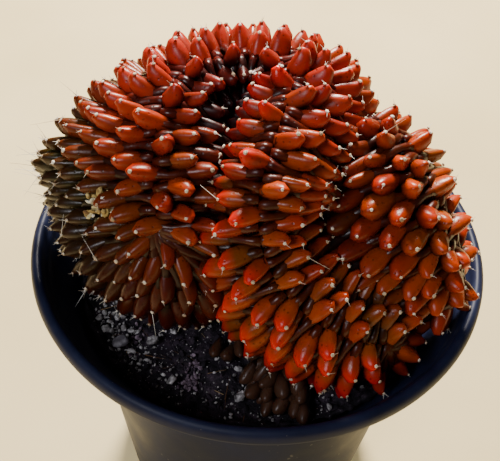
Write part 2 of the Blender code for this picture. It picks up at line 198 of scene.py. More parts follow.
# %% Grow the pot ring by ring
POT_SIDES = 144
BASE_RADIUS = 40.0
wall_rings = [
    (41.0, 1.0), (43.0, 17.0), (45.3, 36.0), (47.7, 55.0), (49.6, 70.6), (50.4, 76.2), (51.2, 79.0),
    (54.3, 83.0), (57.6, 88.0), (60.2, 92.2), (61.6, 94.0), (62.2, 94.5), (63.1, 94.7), (64.0, 94.9),
    (64.7, 95.7), (65.0, 96.9), (64.9, 98.1), (64.5, 99.2), (63.8, 99.8), (63.1, 100.0), (62.4, 99.8),
    (61.8, 99.2), (61.4, 98.3), (61.1, 97.4), (60.6, 96.8), (60.1, 96.2), (59.9, 95.0),
    (59.2, 93.4), (58.9, 93.2), (57.9, 91.2), (57.6, 91.0), (56.4, 88.4), (56.1, 88.2), (54.6, 85.4),
    (53.4, 83.4), (51.6, 80.0), (49.6, 77.6), (49.2, 76.0), (44.2, 36.0), (39.9, 1.6),
]
bpy.ops.mesh.primitive_circle_add(vertices=POT_SIDES, radius=BASE_RADIUS * MM, fill_type="NGON")
pot = bpy.context.active_object
pot.name = "nursery_pot"
bpy.ops.object.mode_set(mode="EDIT")
radius, height = BASE_RADIUS, 0.0
for next_radius, next_height in wall_rings:
    bpy.ops.mesh.extrude_region_move(TRANSFORM_OT_translate={"value": (0.0, 0.0, (next_height - height) * MM)})
    grow = next_radius / radius
    bpy.ops.transform.resize(value=(grow, grow, 1.0), center_override=(0.0, 0.0, next_height * MM))
    radius, height = next_radius, next_height
bpy.ops.object.mode_set(mode="OBJECT")
print("pot rings:", len(wall_rings), "faces:", len(pot.data.polygons))

# %% [markdown]
# The disc that was dragged along through every step has ended up as the inside of the floor, so the pot is
# closed. Water still has to leave it: eight drain holes are punched through the floor. Each punch is a cylinder,
# and one Boolean with all of them joined is quicker than eight.

# %% Drain holes and smooth shading
HOLES = 8
HOLE_CIRCLE = 29.0 * MM
HOLE_RADIUS = 3.6 * MM
bpy.ops.object.select_all(action="DESELECT")
punches = []
for hole in range(HOLES):
    angle = math.tau * (hole + 0.5) / HOLES
    place = (HOLE_CIRCLE * math.cos(angle), HOLE_CIRCLE * math.sin(angle), 0.0)
    bpy.ops.mesh.primitive_cylinder_add(vertices=24, radius=HOLE_RADIUS, depth=8.0 * MM, location=place)
    punches.append(bpy.context.active_object)
for punch in punches:
    punch.select_set(True)
bpy.context.view_layer.objects.active = punches[0]
bpy.ops.object.join()
punch = bpy.context.active_object
cut = pot.modifiers.new("drain", "BOOLEAN")
cut.operation = "DIFFERENCE"
cut.solver = "EXACT"
cut.object = punch
pick_only(pot)
bpy.ops.object.modifier_apply(modifier="drain")
bpy.data.objects.remove(punch, do_unlink=True)
bpy.ops.object.mode_set(mode="EDIT")
bpy.ops.mesh.select_all(action="SELECT")
bpy.ops.mesh.normals_make_consistent(inside=False)
bpy.ops.object.mode_set(mode="OBJECT")
bpy.ops.object.shade_smooth_by_angle(angle=math.radians(38))
print("drain holes:", HOLES, "pot faces:", len(pot.data.polygons))

# %% [markdown]
# Nursery pots are polypropylene, coloured with carbon black and a little blue. The moulded face is satin, with a
# faint orange-peel grain. Dust and dried water marks settle on it in specks. A painter would glaze one colour
# over another, and a material can do the same: each layer is a mask and a colour, mixed over what lies under it.


# %% Colour layers
def add_layers(tree, colour, *layers):
    """Mix colours over each other. A layer is a source, its low and high, the strength at each, and a hex colour."""
    for source, low, high, at_low, at_high, hex_value in layers:
        limits = {"From Min": low, "From Max": high, "To Min": at_low, "To Max": at_high}
        strength = add_node(tree, "ShaderNodeMapRange", limits, {"Value": source}).outputs["Result"]
        top_coat = {"data_type": "RGBA", "B": paint(hex_value)}
        colour = add_node(tree, "ShaderNodeMix", top_coat, {"Factor": strength, "A": colour}).outputs["Result"]
    return colour


print("layer function ready")

# %% Moulded polypropylene
plastic, tree, shader = new_material("satin moulded polypropylene, charcoal blue")
coordinates = add_node(tree, "ShaderNodeTexCoord")
place_on_pot = coordinates.outputs["Object"]
cloud_look = {"Scale": 55.0, "Detail": 5.0, "Roughness": 0.62}
cloudy = add_node(tree, "ShaderNodeTexNoise", cloud_look, {"Vector": place_on_pot})
base_tone = add_node(tree, "ShaderNodeValToRGB", links={"Fac": cloudy.outputs["Fac"]})
stops(base_tone, (0.30, "#12162c"), (0.55, "#1a203a"), (0.75, "#272f4b"))
# Dust specks about 2 mm apart: a cell's middle is dusty out to a limit that changes from place to place.
specks = add_node(tree, "ShaderNodeTexVoronoi", {"Scale": 420.0, "Randomness": 1.0}, {"Vector": place_on_pot})
speck_size = add_node(tree, "ShaderNodeTexNoise", {"Scale": 160.0, "Detail": 2.0}, {"Vector": place_on_pot})
size_range = {"From Min": 0.52, "From Max": 0.75, "To Min": 0.0, "To Max": 0.26}
speck_limit = add_node(tree, "ShaderNodeMapRange", size_range, {"Value": speck_size.outputs["Fac"]})
dust_inputs = {0: specks.outputs["Distance"], 1: speck_limit.outputs["Result"]}
dust_mask = add_node(tree, "ShaderNodeMath", {"operation": "LESS_THAN"}, dust_inputs)
dust_layer = (dust_mask.outputs["Value"], 0.0, 1.0, 0.0, 1.0, "#5d5c58")
tree.links.new(add_layers(tree, base_tone.outputs["Color"], dust_layer), shader.inputs["Base Color"])
satin_range = {"From Min": 0.3, "From Max": 0.7, "To Min": 0.40, "To Max": 0.58}
satin = add_node(tree, "ShaderNodeMapRange", satin_range, {"Value": cloudy.outputs["Fac"]})
tree.links.new(satin.outputs["Result"], shader.inputs["Roughness"])
shader.inputs["IOR"].default_value = 1.49
shader.inputs["Specular IOR Level"].default_value = 0.20
peel = add_node(tree, "ShaderNodeTexNoise", {"Scale": 900.0, "Detail": 2.0}, {"Vector": place_on_pot})
grain = add_node(tree, "ShaderNodeBump", {"Strength": 0.25, "Distance": 0.00008}, {"Height": peel.outputs["Fac"]})
tree.links.new(grain.outputs["Normal"], shader.inputs["Normal"])
pot.data.materials.append(plastic)
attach(pot, "root")
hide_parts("pot")
print("pot material:", plastic.name)

# %% [markdown]
# ## How the plant is laid out
# Two growing ridges carry the plant. Each is a short list of stations: where the ridge runs, how far its left and
# right flank reach out, and how far each flank curls under. A smooth curve joins the stations. Every rib is then
# a path that starts on the ridge and runs down one flank, and every tubercle is a place on such a path.

# %% The two ridges
SOIL_TOP = 83.5 * MM
HALF_SPREAD = 62.0 * MM
CREST_HEIGHT = 76.0 * MM
FLANK_DEPTH = 0.54
main_ridge = (
    ((-0.39, -0.51, 0.68), (0.68, 0.32), (122, 120)),
    ((-0.42, -0.40, 0.83), (0.75, 0.24), (120, 108)),
    ((-0.42, -0.25, 0.91), (0.75, 0.20), (118, 96)),
    ((-0.40, -0.10, 0.94), (0.69, 0.17), (116, 88)),
    ((-0.34, 0.06, 0.94), (0.58, 0.13), (116, 84)),
    ((-0.21, 0.17, 0.94), (0.54, 0.12), (116, 82)),
    ((-0.06, 0.19, 0.94), (0.54, 0.12), (116, 82)),
    ((0.04, 0.12, 0.96), (0.52, 0.14), (112, 82)),
    ((0.08, 0.00, 0.97), (0.36, 0.19), (100, 86)),
    ((0.06, -0.19, 0.98), (0.29, 0.19), (94, 92)),
    ((0.02, -0.38, 0.95), (0.27, 0.18), (94, 112)),
    ((-0.01, -0.52, 0.88), (0.27, 0.18), (96, 124)),
    ((0.00, -0.60, 0.76), (0.27, 0.19), (98, 126)),
    ((0.05, -0.64, 0.64), (0.28, 0.19), (100, 124)),
    ((0.15, -0.68, 0.53), (0.30, 0.20), (106, 120)),
    ((0.28, -0.70, 0.44), (0.30, 0.21), (110, 116)),
    ((0.43, -0.68, 0.36), (0.28, 0.22), (112, 114)),
    ((0.57, -0.62, 0.29), (0.23, 0.22), (114, 114)),
)
side_ridge = (
    ((0.34, 0.22, 0.72), (0.36, 0.14), (116, 84)),
    ((0.42, 0.10, 0.78), (0.34, 0.24), (114, 88)),
    ((0.50, 0.01, 0.80), (0.32, 0.29), (114, 96)),
    ((0.58, -0.08, 0.79), (0.31, 0.31), (114, 104)),
    ((0.65, -0.18, 0.73), (0.30, 0.32), (114, 112)),
    ((0.72, -0.25, 0.65), (0.28, 0.31), (114, 116)),
    ((0.79, -0.28, 0.55), (0.25, 0.28), (114, 116)),
    ((0.85, -0.29, 0.44), (0.22, 0.24), (114, 116)),
    ((0.89, -0.28, 0.33), (0.18, 0.20), (114, 114)),
)
print("stations:", len(main_ridge), "on the main ridge,", len(side_ridge), "on the side ridge")


# %% A smooth curve through the stations
def to_place(shares):
    """A place from shares of the plant's half spread and height."""
    return Vector((shares[0] * HALF_SPREAD, shares[1] * HALF_SPREAD, SOIL_TOP + shares[2] * CREST_HEIGHT))


def between(values, position):
    """Catmull-Rom value between stations; values may be numbers or vectors."""
    last = len(values) - 1
    index = min(int(position), last - 1)
    t = position - index
    before, here = values[max(index - 1, 0)], values[index]
    after, beyond = values[index + 1], values[min(index + 2, last)]
    linear = (after - before) * (0.5 * t)
    square = (before * 2.0 - here * 5.0 + after * 4.0 - beyond) * (0.5 * t * t)
    cube = (here * 3.0 - before - after * 3.0 + beyond) * (0.5 * t * t * t)
    return here + linear + square + cube


heart = to_place((0.0, -0.06, 0.05))


def ridge_frame(ridge, position):
    """Place, direction along, side and up of the ridge, with the reach and curl of both flanks."""
    places = [to_place(station[0]) for station in ridge]
    last = len(ridge) - 1.0
    position = min(max(position, 0.0), last)
    place = between(places, position)
    along = (between(places, min(position + 0.25, last)) - between(places, max(position - 0.25, 0.0))).normalized()
    up = place - heart
    up = (up - along * up.dot(along)).normalized()
    side = up.cross(along).normalized()
    reach = [between([s[1][k] for s in ridge], position) * HALF_SPREAD for k in (0, 1)]
    curl = [between([float(s[2][k]) for s in ridge], position) for k in (0, 1)]
    return place, along, side, up, reach, curl


def run_along(points):
    """Distance walked to each point of a line."""
    return np.concatenate([[0.0], np.cumsum(np.linalg.norm(np.diff(points, axis=0), axis=1))])


def even_positions(ridge, pitch):
    """Positions along a ridge that lie one pitch apart, and the ridge's length."""
    places = [to_place(station[0]) for station in ridge]
    fine = np.linspace(0.0, len(ridge) - 1.0, (len(ridge) - 1) * 40 + 1)
    points = np.array([between(places, t) for t in fine])
    run = run_along(points)
    count = max(2, round(run[-1] / pitch))
    return np.interp(np.linspace(0.0, run[-1], count + 1), run, fine), run[-1]


def rib_path(place, direction, up, reach, curl):
    """Points, downhill directions and outward normals of a rib, from the ridge to its foot."""
    depth = FLANK_DEPTH * (place.z - SOIL_TOP)
    angle = np.radians(curl) * np.linspace(0.0, 1.0, 61)
    sideways = reach * np.sin(angle) ** 0.92
    drop = depth * (np.cos(angle) - 1.0)
    flat = np.stack([sideways, drop], axis=1)
    step = np.gradient(flat, axis=0)
    step /= np.linalg.norm(step, axis=1)[:, None] + 1e-12
    across, upward = np.array(direction), np.array(up)
    points = np.array(place) + flat[:, :1] * across + flat[:, 1:] * upward
    downhill = step[:, :1] * across + step[:, 1:] * upward
    outward = -step[:, 1:] * across + step[:, :1] * upward
    return points, downhill, outward


RIB_PITCH = 3.2 * MM
for name, ridge in (("main", main_ridge), ("side", side_ridge)):
    positions, length = even_positions(ridge, RIB_PITCH)
    print(name, "ridge:", round(length / MM), "mm long,", len(positions), "ribs cross it")

# %% [markdown]
# ## Ribs and tubercles
# A rib is set about every 3 mm along the ridge and runs right across it, down both flanks. Tubercles follow each
# other a little under every 10 mm along a rib. Each rib starts at another share of a step, its beat, so that the
# tubercles of neighbours interlock like coffee beans. Where a flank fans out, young ribs start between the old
# ones. Where two flanks meet in a valley the ribs would crowd, so a place is dropped when a neighbour already
# fills it.

# %% The skin of the CAD plant, for measuring
TUBERCLE_STEP = 9.6 * MM
CLOSEST = 3.3 * MM
SCARS = (Vector((-0.0380, -0.0238, 0.1335)), Vector((0.0520, 0.0030, 0.1160)))
plant_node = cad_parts["crest_body"]
probe = bmesh.new()
probe.from_mesh(plant_node.data)
bmesh.ops.remove_doubles(probe, verts=probe.verts, dist=0.00001)
bmesh.ops.recalc_face_normals(probe, faces=probe.faces)
cad_skin = BVHTree.FromBMesh(probe)
probe.free()
RAYS = 28
GOLDEN_ANGLE = 2.39996


def openness(point, outward):
    """Share of the half space over a place that is free, from 0 in a closed valley to 1 on a crown."""
    start = Vector(point) + Vector(outward) * (2.5 * MM)
    first = Vector(outward).orthogonal().normalized()
    second = Vector(outward).cross(first)
    seen = 0
    for step in range(RAYS):
        rise = 0.10 + 0.90 * (step + 0.5) / RAYS
        turn = step * GOLDEN_ANGLE
        flat = math.sqrt(max(0.0, 1.0 - rise * rise))
        ray = Vector(outward) * rise + first * (flat * math.cos(turn)) + second * (flat * math.sin(turn))
        if cad_skin.ray_cast(start, ray, 30.0 * MM)[0] is None:
            seen += 1
    return seen / RAYS


def depth_inside(point):
    """How deep a point lies inside the CAD plant; negative outside it."""
    touch, normal, _, distance = cad_skin.find_nearest(Vector(point))
    return distance if (Vector(point) - touch).dot(normal) < 0.0 else -distance


print("skin sampled from", len(plant_node.data.polygons), "faces")


# %% Walk the ribs
FLANK_BEATS = {"left": (0.10, 0.50, 1.00, 0.50), "right": (1.00, 0.50, 0.10, 0.50)}
FAN_BEATS = (0.5, 1.0)
FAR_FAN = 10
NEAR_FANS = {"main": 19, "side": 12}


def walk_round(ridge, near_fan):
    """Every rib in order: along the left flank, round the far end, back along the right flank, round the near end."""
    positions, _ = even_positions(ridge, RIB_PITCH)
    frames = [ridge_frame(ridge, p) for p in positions]
    ribs = []

    def add_rib(place, up, way, reach, curl, flank, station, beat):
        ribs.append({
            "place": place, "way": way, "up": up, "reach": reach, "curl": curl,
            "flank": flank, "station": station, "beat": beat,
        })

    def add_flank(flank, counts):
        sign, k = (1.0, 0) if flank == "left" else (-1.0, 1)
        for count in counts:
            place, _, side, up, reach, curl = frames[count]
            beat = FLANK_BEATS[flank][count % 4]
            add_rib(place, up, side * sign, reach[k], curl[k], flank, positions[count], beat)

    def add_fan(flank, count, fan):
        """Ribs that turn round an end of the ridge, from one flank to the other."""
        place, along, side, up, reach, curl = frames[count]
        sign, first, last = (1.0, 0, 1) if flank == "far" else (-1.0, 1, 0)
        for step in range(1, fan):
            turn = math.pi * step / fan
            mix = 0.5 - 0.5 * math.cos(turn)
            direction = (side * math.cos(turn) + along * math.sin(turn)) * sign
            reach_here = reach[first] * (1 - mix) + reach[last] * mix
            curl_here = curl[first] * (1 - mix) + curl[last] * mix
            add_rib(place, up, direction, reach_here, curl_here, flank, positions[count], FAN_BEATS[step % 2])

    add_flank("left", range(len(frames)))
    add_fan("far", len(frames) - 1, FAR_FAN)
    add_flank("right", range(len(frames) - 1, -1, -1))
    add_fan("near", 0, near_fan)
    return ribs


def follow_rib(rib, lines, gap, beat, begin, chance):
    """Tubercle places down one rib. Lines are its points, downhill directions and outward normals."""
    points, downhill, outward = lines
    run = run_along(points)
    sites = []
    order = beat
    while order * TUBERCLE_STEP < run[-1]:
        index = int(np.argmin(np.abs(run - order * TUBERCLE_STEP * chance.uniform(0.97, 1.03))))
        if index >= begin:
            sites.append({
                "point": points[index], "downhill": downhill[index], "outward": outward[index], "order": order,
                "pitch": float(gap[index]), "flank": rib["flank"], "station": rib["station"],
            })
        order += 1.0
    return sites


# Young ribs start where the gap between two old ones is wide enough: their share of the gap, the room, the beat.
ROOM_FOR_ONE = 1.55 * RIB_PITCH
ROOM_FOR_THREE = 3.1 * RIB_PITCH
YOUNG_RIBS = ((0.5, ROOM_FOR_ONE, 0.25), (0.25, ROOM_FOR_THREE, 0.0), (0.75, ROOM_FOR_THREE, 0.5))


def gather_sites(ridge, near_fan, seed):
    """All tubercle places of a fold, nearest the ridge first, and the lines of all its ribs."""
    chance = random.Random(seed)
    ribs = walk_round(ridge, near_fan)
    paths = [rib_path(rib["place"], rib["way"], rib["up"], rib["reach"], rib["curl"]) for rib in ribs]
    sites, chains = [], []
    for number, rib in enumerate(ribs):
        here, beyond = paths[number], paths[(number + 1) % len(paths)]
        gap = np.linalg.norm(beyond[0] - here[0], axis=1)
        part = np.where(gap > ROOM_FOR_THREE, gap / 4, np.where(gap > ROOM_FOR_ONE, gap / 2, gap))
        sites += follow_rib(rib, here, part, rib["beat"], 0, chance)
        chains.append((here, rib["beat"], 0))
        for share, room, shift in YOUNG_RIBS:
            wide = gap > room
            if not wide.any():
                continue
            begin = int(np.argmax(wide))
            lines = [here[k] * (1.0 - share) + beyond[k] * share for k in range(3)]
            for k in (1, 2):
                lines[k] = lines[k] / (np.linalg.norm(lines[k], axis=1)[:, None] + 1e-12)
            beat = (rib["beat"] + shift) % 1.0
            sites += follow_rib(rib, lines, part, beat, begin, chance)
            chains.append((lines, beat, begin))
    sites.sort(key=lambda site: site["order"])
    return sites, chains


for name, ridge in (("main", main_ridge), ("side", side_ridge)):
    print("old ribs round the", name, "ridge:", len(walk_round(ridge, NEAR_FANS[name])))

# %% Keep the places that have room
LOWEST = SOIL_TOP + 2.5 * MM
DEEPEST = 2.6 * MM
LEAST_OPEN = 0.30
SCAR_RADIUS = 4.4 * MM


def thin_out(candidates, taken):
    """Keep a place when it is on the open skin and no kept neighbour is too close."""
    kept = []
    for site in candidates:
        point = site["point"]
        if point[2] < LOWEST or depth_inside(point) > DEEPEST:
            continue
        if taken and np.min(np.linalg.norm(np.array(taken) - point, axis=1)) < CLOSEST:
            continue
        if min((Vector(point) - scar).length for scar in SCARS) < SCAR_RADIUS:
            continue
        site["open"] = openness(point, site["outward"])
        if site["open"] < LEAST_OPEN:
            continue
        taken.append(point)
        kept.append(site)
    return kept


taken_points = []
main_candidates, main_chains = gather_sites(main_ridge, NEAR_FANS["main"], 3)
side_candidates, side_chains = gather_sites(side_ridge, NEAR_FANS["side"], 8)
main_sites = thin_out(main_candidates, taken_points)
side_sites = thin_out(side_candidates, taken_points)
openings = [site["open"] for site in main_sites + side_sites]
print("openness that 10, 50 and 90 per cent stay under:", np.percentile(openings, [10, 50, 90]).round(2))
print("tubercles:", len(main_sites), "on the main fold,", len(side_sites), "on the side fold")

# %% [markdown]
# Low down between the folds the skin belongs to no rib, but it carries tubercles as well. They are found the
# other way round: every face of the CAD skin that is still bare gets one, which points down the slope.

# %% Fill the bare skin
BARE_GAP = 4.9 * MM
FILLER_OPENNESS = 0.62
chance = random.Random(12)
skin_faces = []
for face in plant_node.data.polygons:
    if face.center.z > SOIL_TOP + 3.5 * MM and face.area > 0.0:
        skin_faces.append((np.array(face.center), Vector(face.normal)))
chance.shuffle(skin_faces)
filler_sites = []
for point, normal in skin_faces:
    if np.min(np.linalg.norm(np.array(taken_points) - point, axis=1)) < BARE_GAP:
        continue
    if min((Vector(point) - scar).length for scar in SCARS) < SCAR_RADIUS + 0.2 * MM:
        continue
    slope = Vector((0.0, 0.0, -1.0)) + normal * normal.z
    if slope.length < 0.25:
        slope = normal.orthogonal()
    taken_points.append(point)
    filler_sites.append({
        "point": point, "downhill": np.array(slope.normalized()), "outward": np.array(normal), "order": 5.0,
        "pitch": 3.5 * MM, "flank": "filler", "station": 0.0, "open": max(openness(point, normal), FILLER_OPENNESS),
    })
main_sites += filler_sites
print("tubercles on bare skin:", len(filler_sites))

# %% [markdown]
# ## One tubercle, modelled once
# A tubercle is a small fleshy finger. It is narrow where it leaves the rib, fullest past the middle, and it ends
# in a blunt chin with the spine cushion on top. A sphere laid on its side has a pole at each end, which suits a
# finger: bands of it are picked and scaled or moved. A few dozen faces are enough, because there will be hundreds
# of copies.


# %% Model the finger
def pick_band(obj, low, high):
    """Select the vertices of a mesh whose x lies in a band, in object mode, then enter edit mode."""
    pick_only(obj)
    bpy.ops.object.mode_set(mode="EDIT")
    bpy.ops.mesh.select_mode(type="VERT")
    bpy.ops.mesh.select_all(action="DESELECT")
    bpy.ops.object.mode_set(mode="OBJECT")
    for vert in obj.data.vertices:
        vert.select = low <= vert.co.x <= high
    bpy.ops.object.mode_set(mode="EDIT")


def model_finger(name, root, belly, keel, lift, chin):
    """A finger from x = 0 (root) to x = 1 (chin), about one wide and one high, with a narrower back."""
    bpy.ops.object.select_all(action="DESELECT")
    bpy.ops.mesh.primitive_uv_sphere_add(segments=8, ring_count=8, radius=0.5, rotation=(0.0, math.pi / 2, 0.0))
    finger = bpy.context.active_object
    finger.name = name
    settle(finger)
    finger.data.transform(Matrix.Translation((0.5, 0.0, 0.0)))
    pick_band(finger, -0.1, 0.36)
    bpy.ops.transform.resize(value=(1.0, root, root), center_override=(0.0, 0.0, -0.10))
    pick_band(finger, 0.60, 0.90)
    bpy.ops.transform.resize(value=(1.0, belly, belly), center_override=(0.75, 0.0, -0.05))
    pick_band(finger, 0.80, 0.90)
    bpy.ops.transform.resize(value=(1.0, 1.06, 1.06), center_override=(0.85, 0.0, -0.03))
    pick_band(finger, 0.93, 0.98)
    bpy.ops.transform.resize(value=(1.0, 1.22, 1.20), center_override=(0.96, 0.0, 0.0))
    bpy.ops.object.mode_set(mode="OBJECT")
    for vert in finger.data.vertices:
        vert.select = vert.co.z > 0.20
    bpy.ops.object.mode_set(mode="EDIT")
    bpy.ops.transform.resize(value=(1.0, keel, 1.0), center_override=(0.5, 0.0, 0.0))
    pick_band(finger, 0.97, 1.1)
    bpy.ops.transform.translate(
        value=(0.0, 0.0, lift),
        use_proportional_edit=True,
        proportional_edit_falloff="SMOOTH",
        proportional_size=0.75,
    )
    pick_band(finger, 0.97, 1.1)
    bpy.ops.transform.translate(value=(0.0, 0.0, -chin))
    bpy.ops.object.mode_set(mode="OBJECT")
    bpy.ops.object.shade_smooth()
    print(name, "has", len(finger.data.polygons), "faces")
    return finger


bean = model_finger("bean", 0.84, 1.06, 0.62, 0.34, 0.16)
slim = model_finger("slim", 0.78, 1.00, 0.54, 0.40, 0.12)
plump = model_finger("plump", 0.90, 1.10, 0.72, 0.26, 0.20)


# %% A function that plants copies of a small model
def plant(name, models, places):
    """One mesh with a copy of a model at every place. A place is (model index, matrix, {attribute: value})."""
    shapes = []
    for model in models:
        coords = np.array([v.co for v in model.data.vertices])
        faces = [list(p.vertices) for p in model.data.polygons]
        shapes.append((coords, faces))
    verts, faces, marks = [], [], {}
    start = 0
    keys = sorted(places[0][2])
    for which, matrix, facts in places:
        coords, model_faces = shapes[which]
        turn = np.array(matrix)
        verts.append(coords @ turn[:3, :3].T + turn[:3, 3])
        faces.extend([[start + v for v in face] for face in model_faces])
        for key in keys:
            value = facts[key]
            if callable(value):
                value = value(coords)
            marks.setdefault(key, []).append(np.broadcast_to(value, (len(coords),)))
        start += len(coords)
    mesh = bpy.data.meshes.new(name)
    mesh.from_pydata(np.concatenate(verts).tolist(), [], faces)
    for key in keys:
        layer = mesh.attributes.new(key, "FLOAT", "POINT")
        layer.data.foreach_set("value", np.concatenate(marks[key]).astype(np.float32))
    mesh.validate()
    made = bpy.data.objects.new(name, mesh)
    bpy.context.scene.collection.objects.link(made)
    pick_only(made)
    bpy.ops.object.shade_smooth()
    return made


print("planting function ready")

# %% [markdown]
# Each finger leans away from the ridge: its long axis lies between straight out and downhill. Where a flank fans
# out the fingers grow wider, and where it is pinched in a valley they stay thin. Every finger also carries a few
# numbers from 0 to 1, which the material reads later. Writing them on the mesh keeps one material for the whole
# plant.


# %% Stand a finger on its site
FLAT_LEAN = 23.0
ARCH_LEAN = 26.0
YOUNG_LEAN = 9.0
FINGER_LENGTH = 13.0
THINNEST = 4.2 * MM
THICKEST = 6.1 * MM


def smooth_step(value, low, high):
    t = min(max((value - low) / (high - low), 0.0), 1.0)
    return t * t * (3.0 - 2.0 * t)


def lay_along(root, axes, sizes):
    """Matrix that lays a unit model along three axes, with a size along each."""
    matrix = Matrix.Translation(root)
    for column, (axis, size) in enumerate(zip(axes, sizes)):
        for row in range(3):
            matrix[row][column] = axis[row] * size
    return matrix


def finger_frame(site, chance):
    """Root, axes and sizes of a finger at a site."""
    downhill = Vector(site["downhill"])
    outward = Vector(site["outward"])
    young = 1.0 - smooth_step(site["order"], 0.2, 1.6)
    lean = math.radians(FLAT_LEAN + ARCH_LEAN * site["arch"] + YOUNG_LEAN * young + chance.uniform(-5.0, 5.0))
    long_axis = (downhill * math.cos(lean) + outward * math.sin(lean)).normalized()
    cross = outward.cross(downhill).normalized()
    cross = (cross + long_axis * chance.uniform(-0.10, 0.10)).normalized()
    long_axis = (long_axis + cross * chance.uniform(-0.12, 0.12)).normalized()
    cross = (cross - long_axis * cross.dot(long_axis)).normalized()
    upper = long_axis.cross(cross).normalized()
    width = min(max(site["pitch"] * 1.50, THINNEST), THICKEST) * chance.uniform(0.93, 1.08)
    length = (FINGER_LENGTH - 1.6 * young) * MM * chance.uniform(0.93, 1.07) * (0.72 + 0.28 * site["open"])
    height = width * 0.96 + 0.7 * MM
    root = Vector(site["point"]) - long_axis * (0.40 * length) - outward * (0.9 * MM)
    return root, (long_axis, cross, upper), (length, width, height)


print("a finger is", FINGER_LENGTH, "mm long where it is full grown and free")


# %% The character of each tubercle
# tone: its own hue; sun: pink from strong light; green: shaded olive; crimson: low on the plant; cork: dried out;
# blush: a red chin; the shadow mark: painted shade where the plant shades itself; open: how much sky it sees, also
# used to paint shade into closed valleys.
CHARACTER = ("tone", "sun", "green", "crimson", "cork", "blush", "dusk", "open")


def site_character(site, fold):
    """Set the numbers from 0 to 1 for the stance and the material of a tubercle."""
    x, y, z = (site["point"] / MM).tolist()
    above = z - SOIL_TOP / MM
    crown = smooth_step(above, 44.0, 70.0) * (1.0 - smooth_step(site["order"], 1.0, 3.0))
    back_arch = smooth_step(y, -22.0, 6.0) * (1.0 - smooth_step(x, 8.0, 30.0)) * (1.0 if fold == "main" else 0.0)
    front = 1.0 - smooth_step(y, -44.0, -22.0)
    inner_flank = fold == "main" and site["flank"] == "right" and site["station"] > 7.5
    site["arch"] = max(back_arch, 0.4 * (1.0 - smooth_step(x, -46.0, -30.0)))
    site["sun"] = crown * (0.25 + 0.75 * back_arch)
    site["green"] = (1.0 - smooth_step(x, -44.0, -20.0)) * (1.0 - smooth_step(above, 50.0, 70.0))
    site["crimson"] = (1.0 - smooth_step(above, 6.0, 24.0)) * (0.35 + 0.65 * front)
    site["cork"] = 1.0 if -16.0 < x < 14.0 and above < 15.0 and y < -20.0 else 0.0
    site["blush"] = 1.0 - smooth_step(site["order"], 2.2, 4.0) if inner_flank else 0.12
    # Painted shade: the skin is painted darker low on the left, where the plant shades itself.
    low_left = (1.0 - smooth_step(above, 34.0, 58.0)) * (1.0 - smooth_step(x, -15.0, -4.0))
    site["dusk"] = low_left * (1.0 - 0.4 * site["green"])


def plant_fold(name, fold, sites, seed):
    """Plant a finger at every site of a fold, and note where its tip is."""
    chance = random.Random(seed)
    places = []
    for site in sites:
        site_character(site, fold)
        root, axes, sizes = finger_frame(site, chance)
        site["tone"] = chance.random()
        facts = {key: site[key] for key in CHARACTER}
        # along runs from root to chin; the skin uses it to paint shade near the root.
        facts["along"] = lambda coords: coords[:, 0]
        # topside runs from underside to top; the skin uses it to paint the underside darker as shade.
        facts["topside"] = lambda coords: coords[:, 2] + 0.5
        places.append((chance.choice((0, 0, 1, 2)), lay_along(root, axes, sizes), facts))
        site["tip"] = root + axes[0] * (0.90 * sizes[0]) + axes[2] * (0.56 * sizes[2])
        site["tip_out"] = (axes[0] * 0.45 + axes[2] * 0.85).normalized()
    return plant(name, (bean, slim, plump), places)


main_fingers = plant_fold("main_fold_tubercles", "main", main_sites, 21)
side_fingers = plant_fold("side_lobe_tubercles", "side", side_sites, 22)
for piece in (main_fingers, side_fingers):
    print(piece.name, "has", len(piece.data.polygons), "faces")

# %% [markdown]
# ## The ribs between the tubercles
# A tubercle is only the swollen part of a rib. The rib itself runs on under it, swinging a little from side to
# side, and closes the gap to the next one. A curve with a round bevel is the quickest way to such a tube, because
# each of its points has a radius, which swells under every tubercle. It is turned into a mesh and merged at the
# end.

# %% Rib chains
CHAIN_STEP = 1.9 * MM
CHAIN_SWAY = 0.55 * MM
curve = bpy.data.curves.new("rib_chains", "CURVE")
curve.dimensions = "3D"
curve.bevel_depth = 1.0
curve.bevel_resolution = 1
curve.use_fill_caps = True
for lines, beat, begin in main_chains + side_chains:
    points, downhill, outward = lines
    run = run_along(points)
    wanted = np.arange(0.0, run[-1], CHAIN_STEP)
    piece, pieces = [], []
    for value in wanted:
        index = int(np.argmin(np.abs(run - value)))
        point = points[index]
        shown = index >= begin and point[2] > SOIL_TOP + 1.0 * MM and depth_inside(point) < 2.0 * MM
        if shown:
            beat_here = value / TUBERCLE_STEP - beat
            sway = CHAIN_SWAY * math.sin(math.pi * beat_here)
            crosswise = np.cross(outward[index], downhill[index])
            centre = point + crosswise * sway - outward[index] * (0.5 * MM)
            piece.append((centre, (1.30 + 0.28 * math.cos(math.tau * (beat_here + 0.12))) * MM))
        if (not shown or value == wanted[-1]) and piece:
            if len(piece) > 2:
                pieces.append(piece)
            piece = []
    for piece in pieces:
        spline = curve.splines.new("POLY")
        spline.points.add(len(piece) - 1)
        for corner, (centre, radius) in zip(spline.points, piece):
            corner.co = (*centre, 1.0)
            corner.radius = radius
chains = bpy.data.objects.new("rib_chains", curve)
bpy.context.scene.collection.objects.link(chains)
pick_only(chains)
bpy.ops.object.convert(target="MESH")
chains = bpy.context.active_object
bpy.ops.object.mode_set(mode="EDIT")
bpy.ops.mesh.select_all(action="SELECT")
bpy.ops.mesh.remove_doubles(threshold=0.000005)
bpy.ops.mesh.normals_make_consistent(inside=False)
bpy.ops.object.mode_set(mode="OBJECT")
bpy.ops.object.shade_smooth()
print("rib chains:", len(curve.splines), "ribs,", len(chains.data.polygons), "faces")

